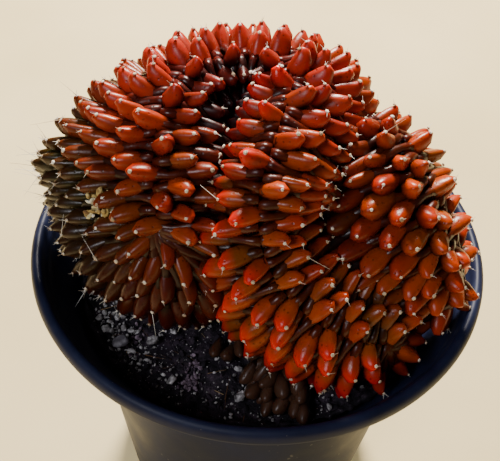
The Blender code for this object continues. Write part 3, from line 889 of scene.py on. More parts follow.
# %% Numbers for the rib chains, from the nearest tubercle
all_sites = main_sites + side_sites
nearest_site = KDTree(len(all_sites))
for number, site in enumerate(all_sites):
    nearest_site.insert(Vector(site["point"]), number)
nearest_site.balance()
owners = [nearest_site.find(vert.co)[1] for vert in chains.data.vertices]
heights = [-depth_inside(vert.co) / MM for vert in chains.data.vertices]
chain_numbers = {key: [float(all_sites[owner][key]) for owner in owners] for key in CHARACTER}
# Painted shade: the lower a chain point lies on the skin, the darker the skin paints it.
chain_numbers["topside"] = [min(max((height + 1.2) / 2.6, 0.0), 1.0) for height in heights]
# Painted shade: this low value makes the skin paint the rib chains dark, like a finger's root.
chain_numbers["along"] = [0.16] * len(heights)
for key, values in chain_numbers.items():
    layer = chains.data.attributes.new(key, "FLOAT", "POINT")
    layer.data.foreach_set("value", values)
print("numbers written:", len(chain_numbers), "for each of", len(heights), "points")

# %% [markdown]
# Old tubercles at the foot of the front limb have lost their water. They have shrunk, turned to brown cork and
# lean on the mix in front of the living ones. They are copies of the same fingers in the dullest colours. Each
# try throws a foot at random, and keeps it if it is close to the plant, low enough, and not too close to another.

# %% Corky tubercles at the foot
CORKY_COUNT = 46
CORKY_TRIES = 6000
CORKY_GAP = 3.0 * MM
chance = random.Random(27)
cork_places, cork_feet = [], []
for _ in range(CORKY_TRIES):
    if len(cork_places) == CORKY_COUNT:
        break
    x, y = chance.uniform(-10.0, 16.0) * MM, chance.uniform(-50.0, -27.0) * MM
    foot = Vector((x, y, SOIL_TOP + chance.uniform(0.0, 9.0) * MM))
    gap = -depth_inside(foot)
    if not -1.0 * MM < gap < 12.0 * MM or foot.z - SOIL_TOP > 9.0 * MM - 0.65 * gap:
        continue
    if cork_feet and min((foot - other).length for other in cork_feet) < CORKY_GAP:
        continue
    cork_feet.append(foot)
    touch, _, _, _ = cad_skin.find_nearest(foot)
    away = foot - touch if gap > 0.0 else touch - foot
    droop = Vector((chance.uniform(-0.5, 0.3), -0.5, chance.uniform(-0.1, 0.5)))
    long_axis = (away.normalized() + droop).normalized()
    cross = long_axis.cross(Vector((0.0, 0.0, 1.0))).normalized()
    upper = cross.cross(long_axis).normalized()
    length, width = chance.uniform(6.0, 9.0) * MM, chance.uniform(3.2, 4.6) * MM
    matrix = lay_along(foot - long_axis * (0.4 * length), (long_axis, cross, upper), (length, width, width))
    facts = {
        "tone": chance.random(), "sun": 0.0, "green": 0.0, "crimson": 0.0, "cork": 1.0, "blush": 0.0, "dusk": 0.0,
        "open": 0.95, "along": lambda coords: coords[:, 0], "topside": lambda coords: coords[:, 2] + 0.5,
    }
    cork_places.append((chance.choice((0, 1, 2)), matrix, facts))
corky = plant("corky_tubercles", (bean, slim, plump), cork_places)
print("corky tubercles:", len(cork_places))

# %% [markdown]
# ## The body under the tubercles
# Between the fingers one looks down past the ribs into deep shade. A copy of the CAD plant fills it: its loose
# triangles are merged, a voxel remesh evens them out, and the result is smoothed and drawn in a little, so that
# it never shows above the fingers. Sculpting it by hand would be wasted, as so little of it is seen.


# %% The body
def merged_copy(name, node):
    """A copy of a CAD node's mesh with its doubles merged, selected and active."""
    made = bpy.data.objects.new(name, node.data.copy())
    bpy.context.scene.collection.objects.link(made)
    pick_only(made)
    bpy.ops.object.mode_set(mode="EDIT")
    bpy.ops.mesh.select_all(action="SELECT")
    bpy.ops.mesh.remove_doubles(threshold=0.00001)
    bpy.ops.mesh.normals_make_consistent(inside=False)
    bpy.ops.object.mode_set(mode="OBJECT")
    made.data.materials.clear()
    return made


def finish_with(obj, kind, **settings):
    """Add a modifier with its settings and apply it."""
    modifier = obj.modifiers.new(kind.lower(), kind)
    for name, value in settings.items():
        setattr(modifier, name, value)
    bpy.ops.object.modifier_apply(modifier=modifier.name)


body = merged_copy("crest_flesh", plant_node)
finish_with(body, "REMESH", mode="VOXEL", voxel_size=1.4 * MM)
finish_with(body, "SMOOTH", iterations=6, factor=0.6)
finish_with(body, "DISPLACE", direction="NORMAL", mid_level=0.0, strength=-1.7 * MM)
bpy.ops.object.shade_smooth()
print("body has", len(body.data.polygons), "faces")

# %% [markdown]
# Succulent skin is a thin waxy film over wet flesh. The wax gives a clear, fairly sharp glint, and the flesh lets
# red light through near thin edges. Strong sun brings out red and pink pigment, shade keeps the skin olive, and
# skin close to the soil goes crimson and at last corky. Each of these is one number on the fingers and one layer
# of colour. On top come layers of painted shade: the plant's own shadow, closed valleys, each finger's root and
# its underside are painted darker.

# %% Waxy succulent skin: patterns and numbers
skin, tree, shader = new_material("waxy succulent skin, sun-reddened")
coordinates = add_node(tree, "ShaderNodeTexCoord")
on_plant = coordinates.outputs["Object"]
# Blotches are about 5 mm wide and the slow drift in hue about 20 mm. Real pores are far finer than the 2 mm drawn
# here, which is as coarse as they need to be to show.
blotch_look = {"Scale": 210.0, "Detail": 3.0, "Roughness": 0.55}
blotches = add_node(tree, "ShaderNodeTexNoise", blotch_look, {"Vector": on_plant}).outputs["Fac"]
drift = add_node(tree, "ShaderNodeTexNoise", {"Scale": 45.0, "Detail": 2.0}, {"Vector": on_plant}).outputs["Fac"]
pores = add_node(tree, "ShaderNodeTexVoronoi", {"Scale": 620.0, "Randomness": 1.0}, {"Vector": on_plant})
pore_range = {"From Min": 0.10, "From Max": 0.22, "To Min": 0.55, "To Max": 0.0}
pore_mask = add_node(tree, "ShaderNodeMapRange", pore_range, {"Value": pores.outputs["Distance"]}).outputs["Result"]
marks = {}
for name in (*CHARACTER, "along", "topside"):
    marks[name] = add_node(tree, "ShaderNodeAttribute", {"attribute_name": name}).outputs["Fac"]
print("numbers read from the fingers:", ", ".join(marks))

# %% Waxy succulent skin: layers of colour and painted shade
drift_part = add_node(tree, "ShaderNodeMath", {"operation": "MULTIPLY", 1: 0.75}, {0: drift}).outputs["Value"]
hue_inputs = {0: marks["tone"], 2: drift_part}
hue = add_node(tree, "ShaderNodeMath", {"operation": "MULTIPLY_ADD", 1: 0.45}, hue_inputs).outputs["Value"]
flesh = add_node(tree, "ShaderNodeValToRGB", links={"Fac": hue})
stops(flesh, (0.20, "#661100"), (0.42, "#902800"), (0.62, "#a53e00"), (0.90, "#703800"))
chin = add_node(tree, "ShaderNodeMapRange", {"From Min": 0.62, "From Max": 0.95}, {"Value": marks["along"]})
blush = add_node(tree, "ShaderNodeMapRange", {"To Min": 0.10}, {"Value": marks["blush"]})
chin_inputs = {0: chin.outputs["Result"], 1: blush.outputs["Result"]}
red_chin = add_node(tree, "ShaderNodeMath", {"operation": "MULTIPLY"}, chin_inputs).outputs["Value"]
colour = add_layers(
    tree, flesh.outputs["Color"],
    (marks["green"], 0.0, 1.0, 0.0, 0.97, "#1f2101"),
    (marks["sun"], 0.0, 1.0, 0.0, 0.85, "#a52a1c"),
    (red_chin, 0.0, 1.0, 0.0, 1.0, "#d81402"),
    (marks["green"], 0.0, 1.0, 0.0, 0.80, "#1b1c02"),
    (marks["crimson"], 0.0, 1.0, 0.0, 1.0, "#8c0818"),
    (marks["cork"], 0.0, 1.0, 0.0, 1.0, "#4a3022"),
    (blotches, 0.50, 0.72, 0.0, 0.40, "#380f03"),
    (pore_mask, 0.0, 1.0, 0.0, 1.0, "#260802"),
    # Painted shade: darker where the plant shades itself, low on the left.
    (marks["dusk"], 0.0, 1.0, 0.0, 0.88, "#2e0b07"),
    # Painted shade: the less sky a finger sees, the darker it is painted, so closed valleys look shaded.
    (marks["open"], 0.60, 1.0, 0.98, 0.0, "#0c0204"),
    # Painted shade: each finger is painted darker towards its root, where it meets the rib.
    (marks["along"], 0.10, 0.44, 0.96, 0.0, "#0e0203"),
    # Painted shade: the underside of each finger and rib chain is painted darker.
    (marks["topside"], 0.20, 0.68, 0.95, 0.0, "#120302"),
)
tree.links.new(colour, shader.inputs["Base Color"])
print("skin colour mixed from", len(tree.nodes), "nodes")

# %% Waxy succulent skin: gloss and relief
gloss_range = {"From Min": 0.3, "From Max": 0.7, "To Min": 0.24, "To Max": 0.42}
gloss = add_node(tree, "ShaderNodeMapRange", gloss_range, {"Value": blotches})
tree.links.new(gloss.outputs["Result"], shader.inputs["Roughness"])
shader.inputs["IOR"].default_value = 1.45
shader.inputs["Specular IOR Level"].default_value = 0.34
shader.inputs["Subsurface Weight"].default_value = 0.12
shader.inputs["Subsurface Radius"].default_value = (1.0, 0.28, 0.12)
shader.inputs["Subsurface Scale"].default_value = 0.0016
wrinkle_look = {"Scale": 420.0, "Detail": 3.0, "Roughness": 0.6}
wrinkle = add_node(tree, "ShaderNodeTexNoise", wrinkle_look, {"Vector": on_plant})
relief_inputs = {0: pore_mask, 2: wrinkle.outputs["Fac"]}
relief = add_node(tree, "ShaderNodeMath", {"operation": "MULTIPLY_ADD", 1: -0.8}, relief_inputs)
bump = add_node(tree, "ShaderNodeBump", {"Strength": 0.45, "Distance": 0.0003}, {"Height": relief.outputs["Value"]})
tree.links.new(bump.outputs["Normal"], shader.inputs["Normal"])
for piece in (main_fingers, side_fingers, chains, corky):
    piece.data.materials.append(skin)
    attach(piece, "root")
    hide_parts("crest_body")
print("skin material has", len(tree.nodes), "nodes")

# %% [markdown]
# The flesh of the body lies in deep shade, so its colour is painted nearly black as shade. It is matt and has
# almost no glint: a glossy core between the fingers would show up as a grey film. Soft cloudy tones keep it from
# looking flat.

# %% Flesh between the ribs, painted near black as shade
deep, tree, shader = new_material("flesh between ribs, painted near black as shade")
coordinates = add_node(tree, "ShaderNodeTexCoord")
on_body = coordinates.outputs["Object"]
cloud = add_node(tree, "ShaderNodeTexNoise", {"Scale": 120.0, "Detail": 4.0}, {"Vector": on_body})
tone = add_node(tree, "ShaderNodeValToRGB", links={"Fac": cloud.outputs["Fac"]})
# Painted shade: near-black colour standing for the shade between the ribs.
stops(tone, (0.3, "#090203"), (0.55, "#130403"), (0.75, "#1d0703"))
tree.links.new(tone.outputs["Color"], shader.inputs["Base Color"])
shader.inputs["Roughness"].default_value = 0.7
shader.inputs["Specular IOR Level"].default_value = 0.08
rough = add_node(tree, "ShaderNodeBump", {"Strength": 0.6, "Distance": 0.0006}, {"Height": cloud.outputs["Fac"]})
tree.links.new(rough.outputs["Normal"], shader.inputs["Normal"])
body.data.materials.append(deep)
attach(body, "root")
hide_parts("crest_body")
print("body material:", deep.name)

# %% [markdown]
# ## Areoles and spines
# An areole is the small felt cushion near a tubercle's tip that all spines grow from. It is modelled once as a
# flattened bead with a dimple, and set on every finger that is free enough to be seen. A spine is a thin tapering
# needle with a slight bend, grown from a tiny square by extruding and scaling, as the pot was.

# %% Model an areole and a spine
bpy.ops.object.select_all(action="DESELECT")
bpy.ops.mesh.primitive_uv_sphere_add(segments=6, ring_count=5, radius=0.5)
areole = bpy.context.active_object
areole.name = "areole_model"
bpy.ops.object.mode_set(mode="EDIT")
bpy.ops.transform.resize(value=(1.0, 1.0, 0.55), center_override=(0.0, 0.0, 0.0))
bpy.ops.mesh.select_mode(type="VERT")
bpy.ops.mesh.select_all(action="DESELECT")
bpy.ops.object.mode_set(mode="OBJECT")
for vert in areole.data.vertices:
    vert.select = vert.co.z > 0.26
bpy.ops.object.mode_set(mode="EDIT")
bpy.ops.transform.translate(value=(0.0, 0.0, -0.14))
bpy.ops.object.mode_set(mode="OBJECT")

bpy.ops.object.select_all(action="DESELECT")
bpy.ops.mesh.primitive_circle_add(vertices=4, radius=1.0, fill_type="NGON")
needle = bpy.context.active_object
needle.name = "spine_model"
bpy.ops.object.mode_set(mode="EDIT")
bend = 0.0
for step in range(1, 5):
    bend += 0.035 * step
    bpy.ops.mesh.extrude_region_move(TRANSFORM_OT_translate={"value": (0.035 * step, 0.0, 0.25)})
    bpy.ops.transform.resize(value=(0.72, 0.72, 1.0), center_override=(bend, 0.0, 0.25 * step))
bpy.ops.mesh.select_all(action="SELECT")
bpy.ops.mesh.normals_make_consistent(inside=False)
bpy.ops.object.mode_set(mode="OBJECT")
print("areole:", len(areole.data.polygons), "faces; spine:", len(needle.data.polygons), "faces")


# %% Set areoles and spines on the fingers
def stand_up(place, direction, sizes, spin=0.0):
    """Matrix that stands a small model on a place along a direction, turned about itself by a spin."""
    turn = direction.to_track_quat("Z", "Y").to_matrix() @ Matrix.Rotation(spin, 3, "Z")
    return Matrix.Translation(place) @ (turn @ Matrix.Diagonal(sizes)).to_4x4()


def any_way(chance, most=1.0):
    """A vector that points any way, with each part up to a limit."""
    return Vector([chance.uniform(-most, most) for _ in range(3)])


FREE_ENOUGH = 0.62
SPINE_RADIUS = 0.10 * MM
LONG_SPINE_SHARE = 0.08
chance = random.Random(5)
pads, needles = [], []
for site in main_sites + side_sites:
    if site["open"] < FREE_ENOUGH:
        continue
    tip, out = site["tip"], site["tip_out"]
    size = chance.uniform(0.8, 1.25) * MM
    pads.append((0, stand_up(tip, out, (size, size, size), chance.uniform(0, 6.28)), {"tone": chance.random()}))
    hairy = 0.35 + 0.65 * site["green"]
    for _ in range(chance.choice((0, 1, 1, 2)) + (2 if site["green"] > 0.5 else 0)):
        direction = (out + any_way(chance) * 1.1).normalized()
        length = chance.uniform(0.8, 2.0) * MM
        if chance.random() < LONG_SPINE_SHARE * hairy:
            length = chance.uniform(3.5, 8.0) * MM
        matrix = stand_up(tip, direction, (SPINE_RADIUS, SPINE_RADIUS, length), chance.uniform(0, 6.28))
        needles.append((0, matrix, {"tone": chance.random()}))
areoles = plant("areole_cushions", (areole,), pads)
short_spines = plant("areole_spines", (needle,), needles)
print(len(pads), "areoles,", len(needles), "short spines")

# %% [markdown]
# Areole felt is a mat of short dry hairs: it has no gloss, and fine noise in colour and height gives it its nap.
# A spine is dry horn, straw white and half glossy. Both read a tone of their own, so that no two look the same.

# %% Materials for felt and spines
felt, tree, shader = new_material("dry areole felt")
coordinates = add_node(tree, "ShaderNodeTexCoord")
on_pad = coordinates.outputs["Object"]
fuzz = add_node(tree, "ShaderNodeTexNoise", {"Scale": 1500.0, "Detail": 2.0}, {"Vector": on_pad})
own_tone = add_node(tree, "ShaderNodeAttribute", {"attribute_name": "tone"})
tone = add_node(tree, "ShaderNodeValToRGB", links={"Fac": own_tone.outputs["Fac"]})
stops(tone, (0.0, "#a88a68"), (0.4, "#d8c8ac"), (1.0, "#f2ead8"))
colour = add_layers(tree, tone.outputs["Color"], (fuzz.outputs["Fac"], 0.45, 0.65, 0.0, 0.5, "#8d7356"))
tree.links.new(colour, shader.inputs["Base Color"])
shader.inputs["Roughness"].default_value = 0.95
nap = add_node(tree, "ShaderNodeBump", {"Strength": 0.8, "Distance": 0.0002}, {"Height": fuzz.outputs["Fac"]})
tree.links.new(nap.outputs["Normal"], shader.inputs["Normal"])
areoles.data.materials.append(felt)

straw, tree, shader = new_material("dry horn spine, straw white")
own_tone = add_node(tree, "ShaderNodeAttribute", {"attribute_name": "tone"})
tone = add_node(tree, "ShaderNodeValToRGB", links={"Fac": own_tone.outputs["Fac"]})
stops(tone, (0.0, "#b79a77"), (0.35, "#e6dcc8"), (1.0, "#fbf8f0"))
tree.links.new(tone.outputs["Color"], shader.inputs["Base Color"])
shader.inputs["Roughness"].default_value = 0.42
short_spines.data.materials.append(straw)
for piece in (areoles, short_spines):
    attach(piece, "root")
    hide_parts("crest_body")
print("felt and spine materials set")

# %% [markdown]
# ## Long spines and callus
# A few spines on the shaded lobe are long, thin and curved like bristles. Each CAD spine shows where one of them
# stands, so the bristle takes its foot, its direction and its length from that. The direction is the longest axis
# of the CAD spine's points, which a singular value decomposition finds.

# %% Bristles at the places of the CAD spines
bpy.ops.object.select_all(action="DESELECT")
bpy.ops.mesh.primitive_circle_add(vertices=5, radius=0.016, fill_type="NGON")
bristle = bpy.context.active_object
bristle.name = "bristle_model"
bpy.ops.object.mode_set(mode="EDIT")
bend = 0.0
for step in range(1, 8):
    shift = 0.009 * step
    bend += shift
    bpy.ops.mesh.extrude_region_move(TRANSFORM_OT_translate={"value": (shift, 0.0, 1.0 / 7.0)})
    bpy.ops.transform.resize(value=(0.80, 0.80, 1.0), center_override=(bend, 0.0, step / 7.0))
bpy.ops.mesh.select_all(action="SELECT")
bpy.ops.mesh.normals_make_consistent(inside=False)
bpy.ops.object.mode_set(mode="OBJECT")
spine_names = sorted(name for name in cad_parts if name.startswith("spine_"))
for number, name in enumerate(spine_names):
    corners = np.array([v.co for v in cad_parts[name].data.vertices])
    centre = corners.mean(axis=0)
    axis = np.linalg.svd(corners - centre)[2][0]
    reach = (corners - centre) @ axis
    if Vector(centre + axis * reach.max()).z < Vector(centre + axis * reach.min()).z:
        axis, reach = -axis, -reach
    foot = Vector(centre + axis * reach.min()) - Vector(axis) * (1.5 * MM)
    length = float(reach.max() - reach.min()) + 1.2 * MM
    matrix = stand_up(foot, Vector(axis), (length, length, length), number * 1.3)
    made = plant("bristle_" + name[-2:], (bristle,), [(0, matrix, {"tone": (number * 0.37) % 1.0})])
    made.data.materials.append(straw)
    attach(made, "root")
    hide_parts(name)
print("bristles:", len(spine_names))

# %% [markdown]
# Where tubercles were once knocked off, the plant has closed the wound with callus, which dries to flaky,
# cream-coloured cork. The areole's bead, pressed flat and set at all angles, does for a flake.

# %% Callus scars
chance = random.Random(17)
flakes = []
for middle, spread, count in ((SCARS[0], 4.2 * MM, 34), (SCARS[1], 3.6 * MM, 26)):
    for _ in range(count):
        near = middle + any_way(chance) * spread
        touch, normal, _, _ = cad_skin.find_nearest(near)
        lean = (normal + any_way(chance, 0.7)).normalized()
        wide, tall = chance.uniform(1.4, 3.6) * MM, chance.uniform(1.2, 2.6) * MM
        place = touch + normal * chance.uniform(0.4, 3.4) * MM
        matrix = stand_up(place, lean, (wide, wide * 0.6, tall), chance.uniform(0, 6.28))
        flakes.append((0, matrix, {"tone": chance.random()}))
scars = plant("callus_scars", (areole,), flakes)
print("callus flakes:", len(flakes))

# %% Dried callus
callus, tree, shader = new_material("dried callus cork, cream")
coordinates = add_node(tree, "ShaderNodeTexCoord")
on_scar = coordinates.outputs["Object"]
crumble = add_node(tree, "ShaderNodeTexNoise", {"Scale": 900.0, "Detail": 4.0}, {"Vector": on_scar})
own_tone = add_node(tree, "ShaderNodeAttribute", {"attribute_name": "tone"})
tone = add_node(tree, "ShaderNodeValToRGB", links={"Fac": own_tone.outputs["Fac"]})
stops(tone, (0.0, "#8c6a3a"), (0.35, "#cbb26a"), (0.7, "#e6dba8"), (1.0, "#f4efdc"))
colour = add_layers(tree, tone.outputs["Color"], (crumble.outputs["Fac"], 0.48, 0.66, 0.0, 0.7, "#6b4523"))
tree.links.new(colour, shader.inputs["Base Color"])
shader.inputs["Roughness"].default_value = 0.85
crust = add_node(tree, "ShaderNodeBump", {"Strength": 0.9, "Distance": 0.0004}, {"Height": crumble.outputs["Fac"]})
tree.links.new(crust.outputs["Normal"], shader.inputs["Normal"])
scars.data.materials.append(callus)
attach(scars, "root")
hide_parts("crest_body")
print("callus material:", callus.name)

# %% [markdown]
# ## The potting mix
# The mix is black peat with perlite, bark fibre and a little grit. Its surface is a jumble at every size, so it
# is built in layers: a lumpy ground from the CAD soil, then crumbs of peat, about as many specks of perlite dust,
# and fibres on top. The relief mostly cuts inwards, so the ground doesn't come through the wall of the pot.

# %% Lumpy ground
ground = merged_copy("potting_mix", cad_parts["soil"])
finish_with(ground, "REMESH", mode="VOXEL", voxel_size=1.15 * MM)
for name, size, strength in (("clods", 6.0, 3.0), ("crumbs", 2.2, 1.6)):
    bumpy = bpy.data.textures.new(name, "CLOUDS")
    bumpy.noise_scale = size * MM
    finish_with(ground, "DISPLACE", texture=bumpy, texture_coords="LOCAL", mid_level=0.85, strength=strength * MM)
bpy.ops.object.shade_smooth()
ground_probe = bmesh.new()
ground_probe.from_mesh(ground.data)
ground_skin = BVHTree.FromBMesh(ground_probe)
ground_probe.free()
print("ground:", len(ground.data.polygons), "faces")

# %% [markdown]
# Damp peat is nearly black, with a violet cast, and fibrous at every scale, so its noise has many octaves. Fine
# mineral dust dries on it as pale specks about 1 mm apart.

# %% Damp black peat
peat, tree, shader = new_material("damp black peat")
coordinates = add_node(tree, "ShaderNodeTexCoord")
on_mix = coordinates.outputs["Object"]
earth = add_node(tree, "ShaderNodeTexNoise", {"Scale": 260.0, "Detail": 6.0, "Roughness": 0.7}, {"Vector": on_mix})
tone = add_node(tree, "ShaderNodeValToRGB", links={"Fac": earth.outputs["Fac"]})
stops(tone, (0.30, "#060407"), (0.50, "#19131b"), (0.62, "#3a2e39"), (0.78, "#74626e"))
stain = add_node(tree, "ShaderNodeTexNoise", {"Scale": 70.0, "Detail": 3.0}, {"Vector": on_mix})
dust = add_node(tree, "ShaderNodeTexVoronoi", {"Scale": 900.0, "Randomness": 1.0}, {"Vector": on_mix})
size_range = {"From Min": 0.45, "From Max": 0.75, "To Min": 0.04, "To Max": 0.30}
dust_size = add_node(tree, "ShaderNodeMapRange", size_range, {"Value": stain.outputs["Fac"]})
dust_inputs = {0: dust.outputs["Distance"], 1: dust_size.outputs["Result"]}
dust_on = add_node(tree, "ShaderNodeMath", {"operation": "LESS_THAN"}, dust_inputs)
colour = add_layers(
    tree, tone.outputs["Color"],
    (stain.outputs["Fac"], 0.50, 0.70, 0.0, 0.5, "#2a1b2c"),
    (dust_on.outputs["Value"], 0.0, 1.0, 0.0, 1.0, "#8d8790"),
)
tree.links.new(colour, shader.inputs["Base Color"])
shader.inputs["Roughness"].default_value = 0.8
shader.inputs["Specular IOR Level"].default_value = 0.3
clod_bump = add_node(tree, "ShaderNodeBump", {"Strength": 1.0, "Distance": 0.0010}, {"Height": earth.outputs["Fac"]})
tree.links.new(clod_bump.outputs["Normal"], shader.inputs["Normal"])
ground.data.materials.append(peat)
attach(ground, "root")
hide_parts("soil")
print("peat material on the ground")

# %% [markdown]
# Crumbs and grains are small angular lumps. Three of them are modelled from an icosphere with its corners pushed
# about and its edges bevelled. They are scattered over the open part of the ground, with more perlite towards the
# left edge, where watering washed it. A ray from above finds the ground under each one.


# %% Angular lumps
def model_lump(name, seed, squash):
    """An angular lump about one wide, with its corners pushed about and its edges bevelled."""
    bpy.ops.object.select_all(action="DESELECT")
    bpy.ops.mesh.primitive_ico_sphere_add(subdivisions=1, radius=0.5)
    lump = bpy.context.active_object
    lump.name = name
    shake = random.Random(seed)
    for vert in lump.data.vertices:
        vert.co *= shake.uniform(0.72, 1.18)
        vert.co.z *= squash
    bpy.ops.object.mode_set(mode="EDIT")
    bpy.ops.mesh.select_all(action="SELECT")
    bpy.ops.mesh.bevel(offset=0.05, segments=1, affect="EDGES")
    bpy.ops.object.mode_set(mode="OBJECT")
    return lump


lumps = [model_lump("lump_a", 1, 0.8), model_lump("lump_b", 2, 0.6), model_lump("lump_c", 3, 1.0)]
print("lumps:", [len(lump.data.polygons) for lump in lumps], "faces")


# %% Scatter over the open ground
def on_ground(x, y):
    """The ground under a place, or nothing where the plant stands in or over it."""
    hit, normal, _, _ = ground_skin.ray_cast(Vector((x, y, 0.110)), Vector((0.0, 0.0, -1.0)))
    if hit is None or hit.z < 78.0 * MM or depth_inside(hit + Vector((0.0, 0.0, 1.0 * MM))) > -0.5 * MM:
        return None
    return hit, normal


TRIES_EACH = 60
OPEN_RADIUS = 51.0 * MM
DRIFT_ANGLE = 214.0


def scatter(count, seed, smallest, largest, left_share, lift):
    """Lumps on the open ground. Sizes are in mm. Lift is how high a lump's middle stands, as a share of its size."""
    chance = random.Random(seed)
    places = []
    for _ in range(count * TRIES_EACH):
        if len(places) == count:
            break
        angle = chance.uniform(0.0, math.tau)
        distance = OPEN_RADIUS * math.sqrt(chance.random())
        if chance.random() < left_share:
            angle = math.radians(chance.gauss(DRIFT_ANGLE, 16.0))
            distance = chance.uniform(40.0 * MM, OPEN_RADIUS)
        found = on_ground(distance * math.cos(angle), distance * math.sin(angle))
        if found is None:
            continue
        size = (smallest + (largest - smallest) * chance.random() ** 2.6) * MM
        turn = any_way(chance)
        sizes = (size, size * chance.uniform(0.6, 1.0), size * chance.uniform(0.6, 1.0))
        matrix = stand_up(found[0] + found[1] * (size * lift), turn, sizes)
        places.append((chance.randrange(3), matrix, {"tone": chance.random()}))
    return places


crumbs = plant("peat_crumbs", lumps, scatter(1500, 31, 0.7, 3.2, 0.0, 0.10))
crumbs.data.materials.append(peat)
specks = plant("perlite_dust", lumps, scatter(1700, 32, 0.30, 1.4, 0.12, 0.35))
pebbles = plant("perlite_crumbs", lumps, scatter(90, 33, 1.3, 3.6, 0.45, 0.30))
print("faces in crumbs, specks and pebbles:", [len(piece.data.polygons) for piece in (crumbs, specks, pebbles)])

# %% [markdown]
# Perlite is volcanic glass blown up by heat into white foam. Its broken bubbles make it matt and pitted. Old
# grains take up the colour of the peat, so they are grey rather than white. The larger grains and stones follow
# the CAD nodes: a copy of each is merged, subdivided and roughened, and keeps its place.

# %% Expanded perlite
perlite, tree, shader = new_material("expanded perlite, weathered grey")
coordinates = add_node(tree, "ShaderNodeTexCoord")
on_grain = coordinates.outputs["Object"]
pits = add_node(tree, "ShaderNodeTexVoronoi", {"Scale": 1400.0, "Randomness": 1.0}, {"Vector": on_grain})
grime = add_node(tree, "ShaderNodeTexNoise", {"Scale": 500.0, "Detail": 4.0}, {"Vector": on_grain})
tone = add_node(tree, "ShaderNodeValToRGB", links={"Fac": grime.outputs["Fac"]})
stops(tone, (0.32, "#3a3638"), (0.46, "#8d8888"), (0.58, "#c9c5c5"), (0.75, "#efedea"))
colour = add_layers(tree, tone.outputs["Color"], (pits.outputs["Distance"], 0.05, 0.30, 0.6, 0.0, "#3a3537"))
tree.links.new(colour, shader.inputs["Base Color"])
shader.inputs["Roughness"].default_value = 0.75
foam = add_node(tree, "ShaderNodeBump", {"Strength": 0.8, "Distance": 0.0003}, {"Height": pits.outputs["Distance"]})
tree.links.new(foam.outputs["Normal"], shader.inputs["Normal"])
print("perlite material:", perlite.name)

# %% Grit stone
stone_grey, tree, shader = new_material("water-worn grit stone")
coordinates = add_node(tree, "ShaderNodeTexCoord")
mineral_look = {"Scale": 380.0, "Detail": 5.0, "Roughness": 0.65}
mineral = add_node(tree, "ShaderNodeTexNoise", mineral_look, {"Vector": coordinates.outputs["Object"]})
tone = add_node(tree, "ShaderNodeValToRGB", links={"Fac": mineral.outputs["Fac"]})
stops(tone, (0.32, "#38343a"), (0.50, "#68636a"), (0.66, "#8f8b90"), (0.80, "#b5b2b2"))
tree.links.new(tone.outputs["Color"], shader.inputs["Base Color"])
shader.inputs["Roughness"].default_value = 0.55
chips = add_node(tree, "ShaderNodeBump", {"Strength": 0.5, "Distance": 0.0004}, {"Height": mineral.outputs["Fac"]})
tree.links.new(chips.outputs["Normal"], shader.inputs["Normal"])
print("stone material:", stone_grey.name)

# %% Grains and stones at the places of the CAD nodes
rugged = bpy.data.textures.new("rugged", "CLOUDS")
rugged.noise_scale = 1.6 * MM
grain_names = sorted(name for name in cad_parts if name.startswith(("perlite_", "stone_")))
for name in grain_names:
    foamy = name.startswith("perlite")
    depth = (1.6 if foamy else 0.9) * MM
    grain_piece = merged_copy("rough_" + name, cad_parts[name])
    bpy.ops.object.mode_set(mode="EDIT")
    bpy.ops.mesh.subdivide(number_cuts=2)
    bpy.ops.object.mode_set(mode="OBJECT")
    finish_with(grain_piece, "DISPLACE", texture=rugged, texture_coords="LOCAL", mid_level=0.6, strength=depth)
    bpy.ops.object.shade_smooth()
    grain_piece.data.materials.append(perlite if foamy else stone_grey)
    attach(grain_piece, "root")
    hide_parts(name)
for piece in (specks, pebbles):
    piece.data.materials.append(perlite)
for piece, slot_name in ((crumbs, "soil"), (specks, "perlite_01"), (pebbles, "perlite_01")):
    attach(piece, "root")
    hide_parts("soil")
print("grains:", len(grain_names))

# %% [markdown]
# Fibres of coir and bark lie on the mix in any direction. They are copies of the bristle, laid almost flat.

# %% Coir fibres
FIBRES = 130
chance = random.Random(41)
fibre_places = []
for _ in range(FIBRES * TRIES_EACH):
    if len(fibre_places) == FIBRES:
        break
    angle, distance = chance.uniform(0.0, math.tau), 49.0 * MM * math.sqrt(chance.random())
    found = on_ground(distance * math.cos(angle), distance * math.sin(angle))
    if found is None:
        continue
    direction = Vector((chance.uniform(-1.0, 1.0), chance.uniform(-1.0, 1.0), chance.uniform(-0.05, 0.30)))
    length = chance.uniform(3.0, 9.0) * MM
    place = found[0] + Vector((0.0, 0.0, 0.4 * MM))
    matrix = stand_up(place, direction.normalized(), (length, length, length), chance.uniform(0.0, 6.28))
    fibre_places.append((0, matrix, {"tone": chance.random()}))
fibres = plant("coir_fibres", (bristle,), fibre_places)
coir, tree, shader = new_material("coir and bark fibre")
own_tone = add_node(tree, "ShaderNodeAttribute", {"attribute_name": "tone"})
tone = add_node(tree, "ShaderNodeValToRGB", links={"Fac": own_tone.outputs["Fac"]})
stops(tone, (0.0, "#1c120c"), (0.5, "#4a2d16"), (0.85, "#7d5226"), (1.0, "#a58a66"))
tree.links.new(tone.outputs["Color"], shader.inputs["Base Color"])
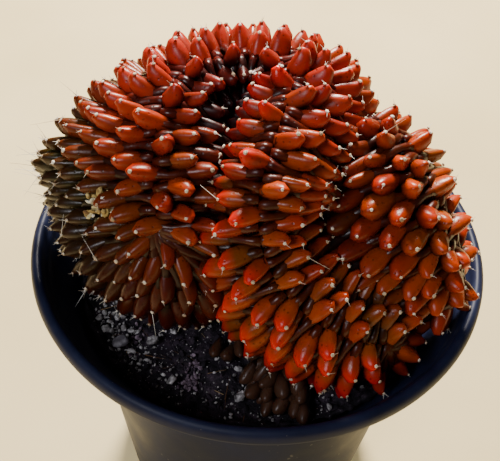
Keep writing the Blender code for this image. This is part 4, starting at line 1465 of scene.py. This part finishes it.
shader.inputs["Roughness"].default_value = 0.8
fibres.data.materials.append(coir)
print("fibres:", len(fibre_places))

# %% [markdown]
# A few pale lumps of old root stand out of the mix, with a violet tint of dried algae. They are the angular lumps
# again, packed close together in clusters, each with a middle, a width and a count.

# %% Old root
ROOT_CLUSTERS = (
    ((-15.0, -33.0), 1.5, 26), ((-16.0, -38.5), 2.6, 46), ((-3.5, -17.5), 2.6, 36), ((-33.0, -26.0), 1.8, 20),
)
root_places = []
for middle, wide, count in ROOT_CLUSTERS:
    for _ in range(count):
        x = (middle[0] + chance.gauss(0.0, wide * 0.5)) * MM
        y = (middle[1] + chance.gauss(0.0, wide * (0.5 if wide > 2.0 else 1.3))) * MM
        found = on_ground(x, y)
        if found is None:
            continue
        size = chance.uniform(0.6, 1.7) * MM
        turn = any_way(chance)
        place = found[0] + Vector((0.0, 0.0, chance.uniform(0.2, 1.2) * MM))
        which = chance.randrange(3)
        root_places.append((which, stand_up(place, turn, (size, size, size)), {"tone": chance.random()}))
old_root = plant("old_root_lumps", lumps, root_places)
root_skin, tree, shader = new_material("dry root bark with algae bloom")
coordinates = add_node(tree, "ShaderNodeTexCoord")
on_root = coordinates.outputs["Object"]
bloom = add_node(tree, "ShaderNodeTexNoise", {"Scale": 900.0, "Detail": 4.0}, {"Vector": on_root})
tone = add_node(tree, "ShaderNodeValToRGB", links={"Fac": bloom.outputs["Fac"]})
stops(tone, (0.35, "#2b1f2b"), (0.52, "#6a5765"), (0.70, "#a18e9c"))
tree.links.new(tone.outputs["Color"], shader.inputs["Base Color"])
shader.inputs["Roughness"].default_value = 0.85
old_root.data.materials.append(root_skin)
for piece in (fibres, old_root):
    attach(piece, "root")
    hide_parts("soil")
print("root lumps:", len(root_places))

# %% [markdown]
# The small models have been copied wherever they were needed, so they are taken out of the scene.

# %% Remove the small models
for model in (bean, slim, plump, areole, needle, bristle, *lumps):
    bpy.data.objects.remove(model, do_unlink=True)
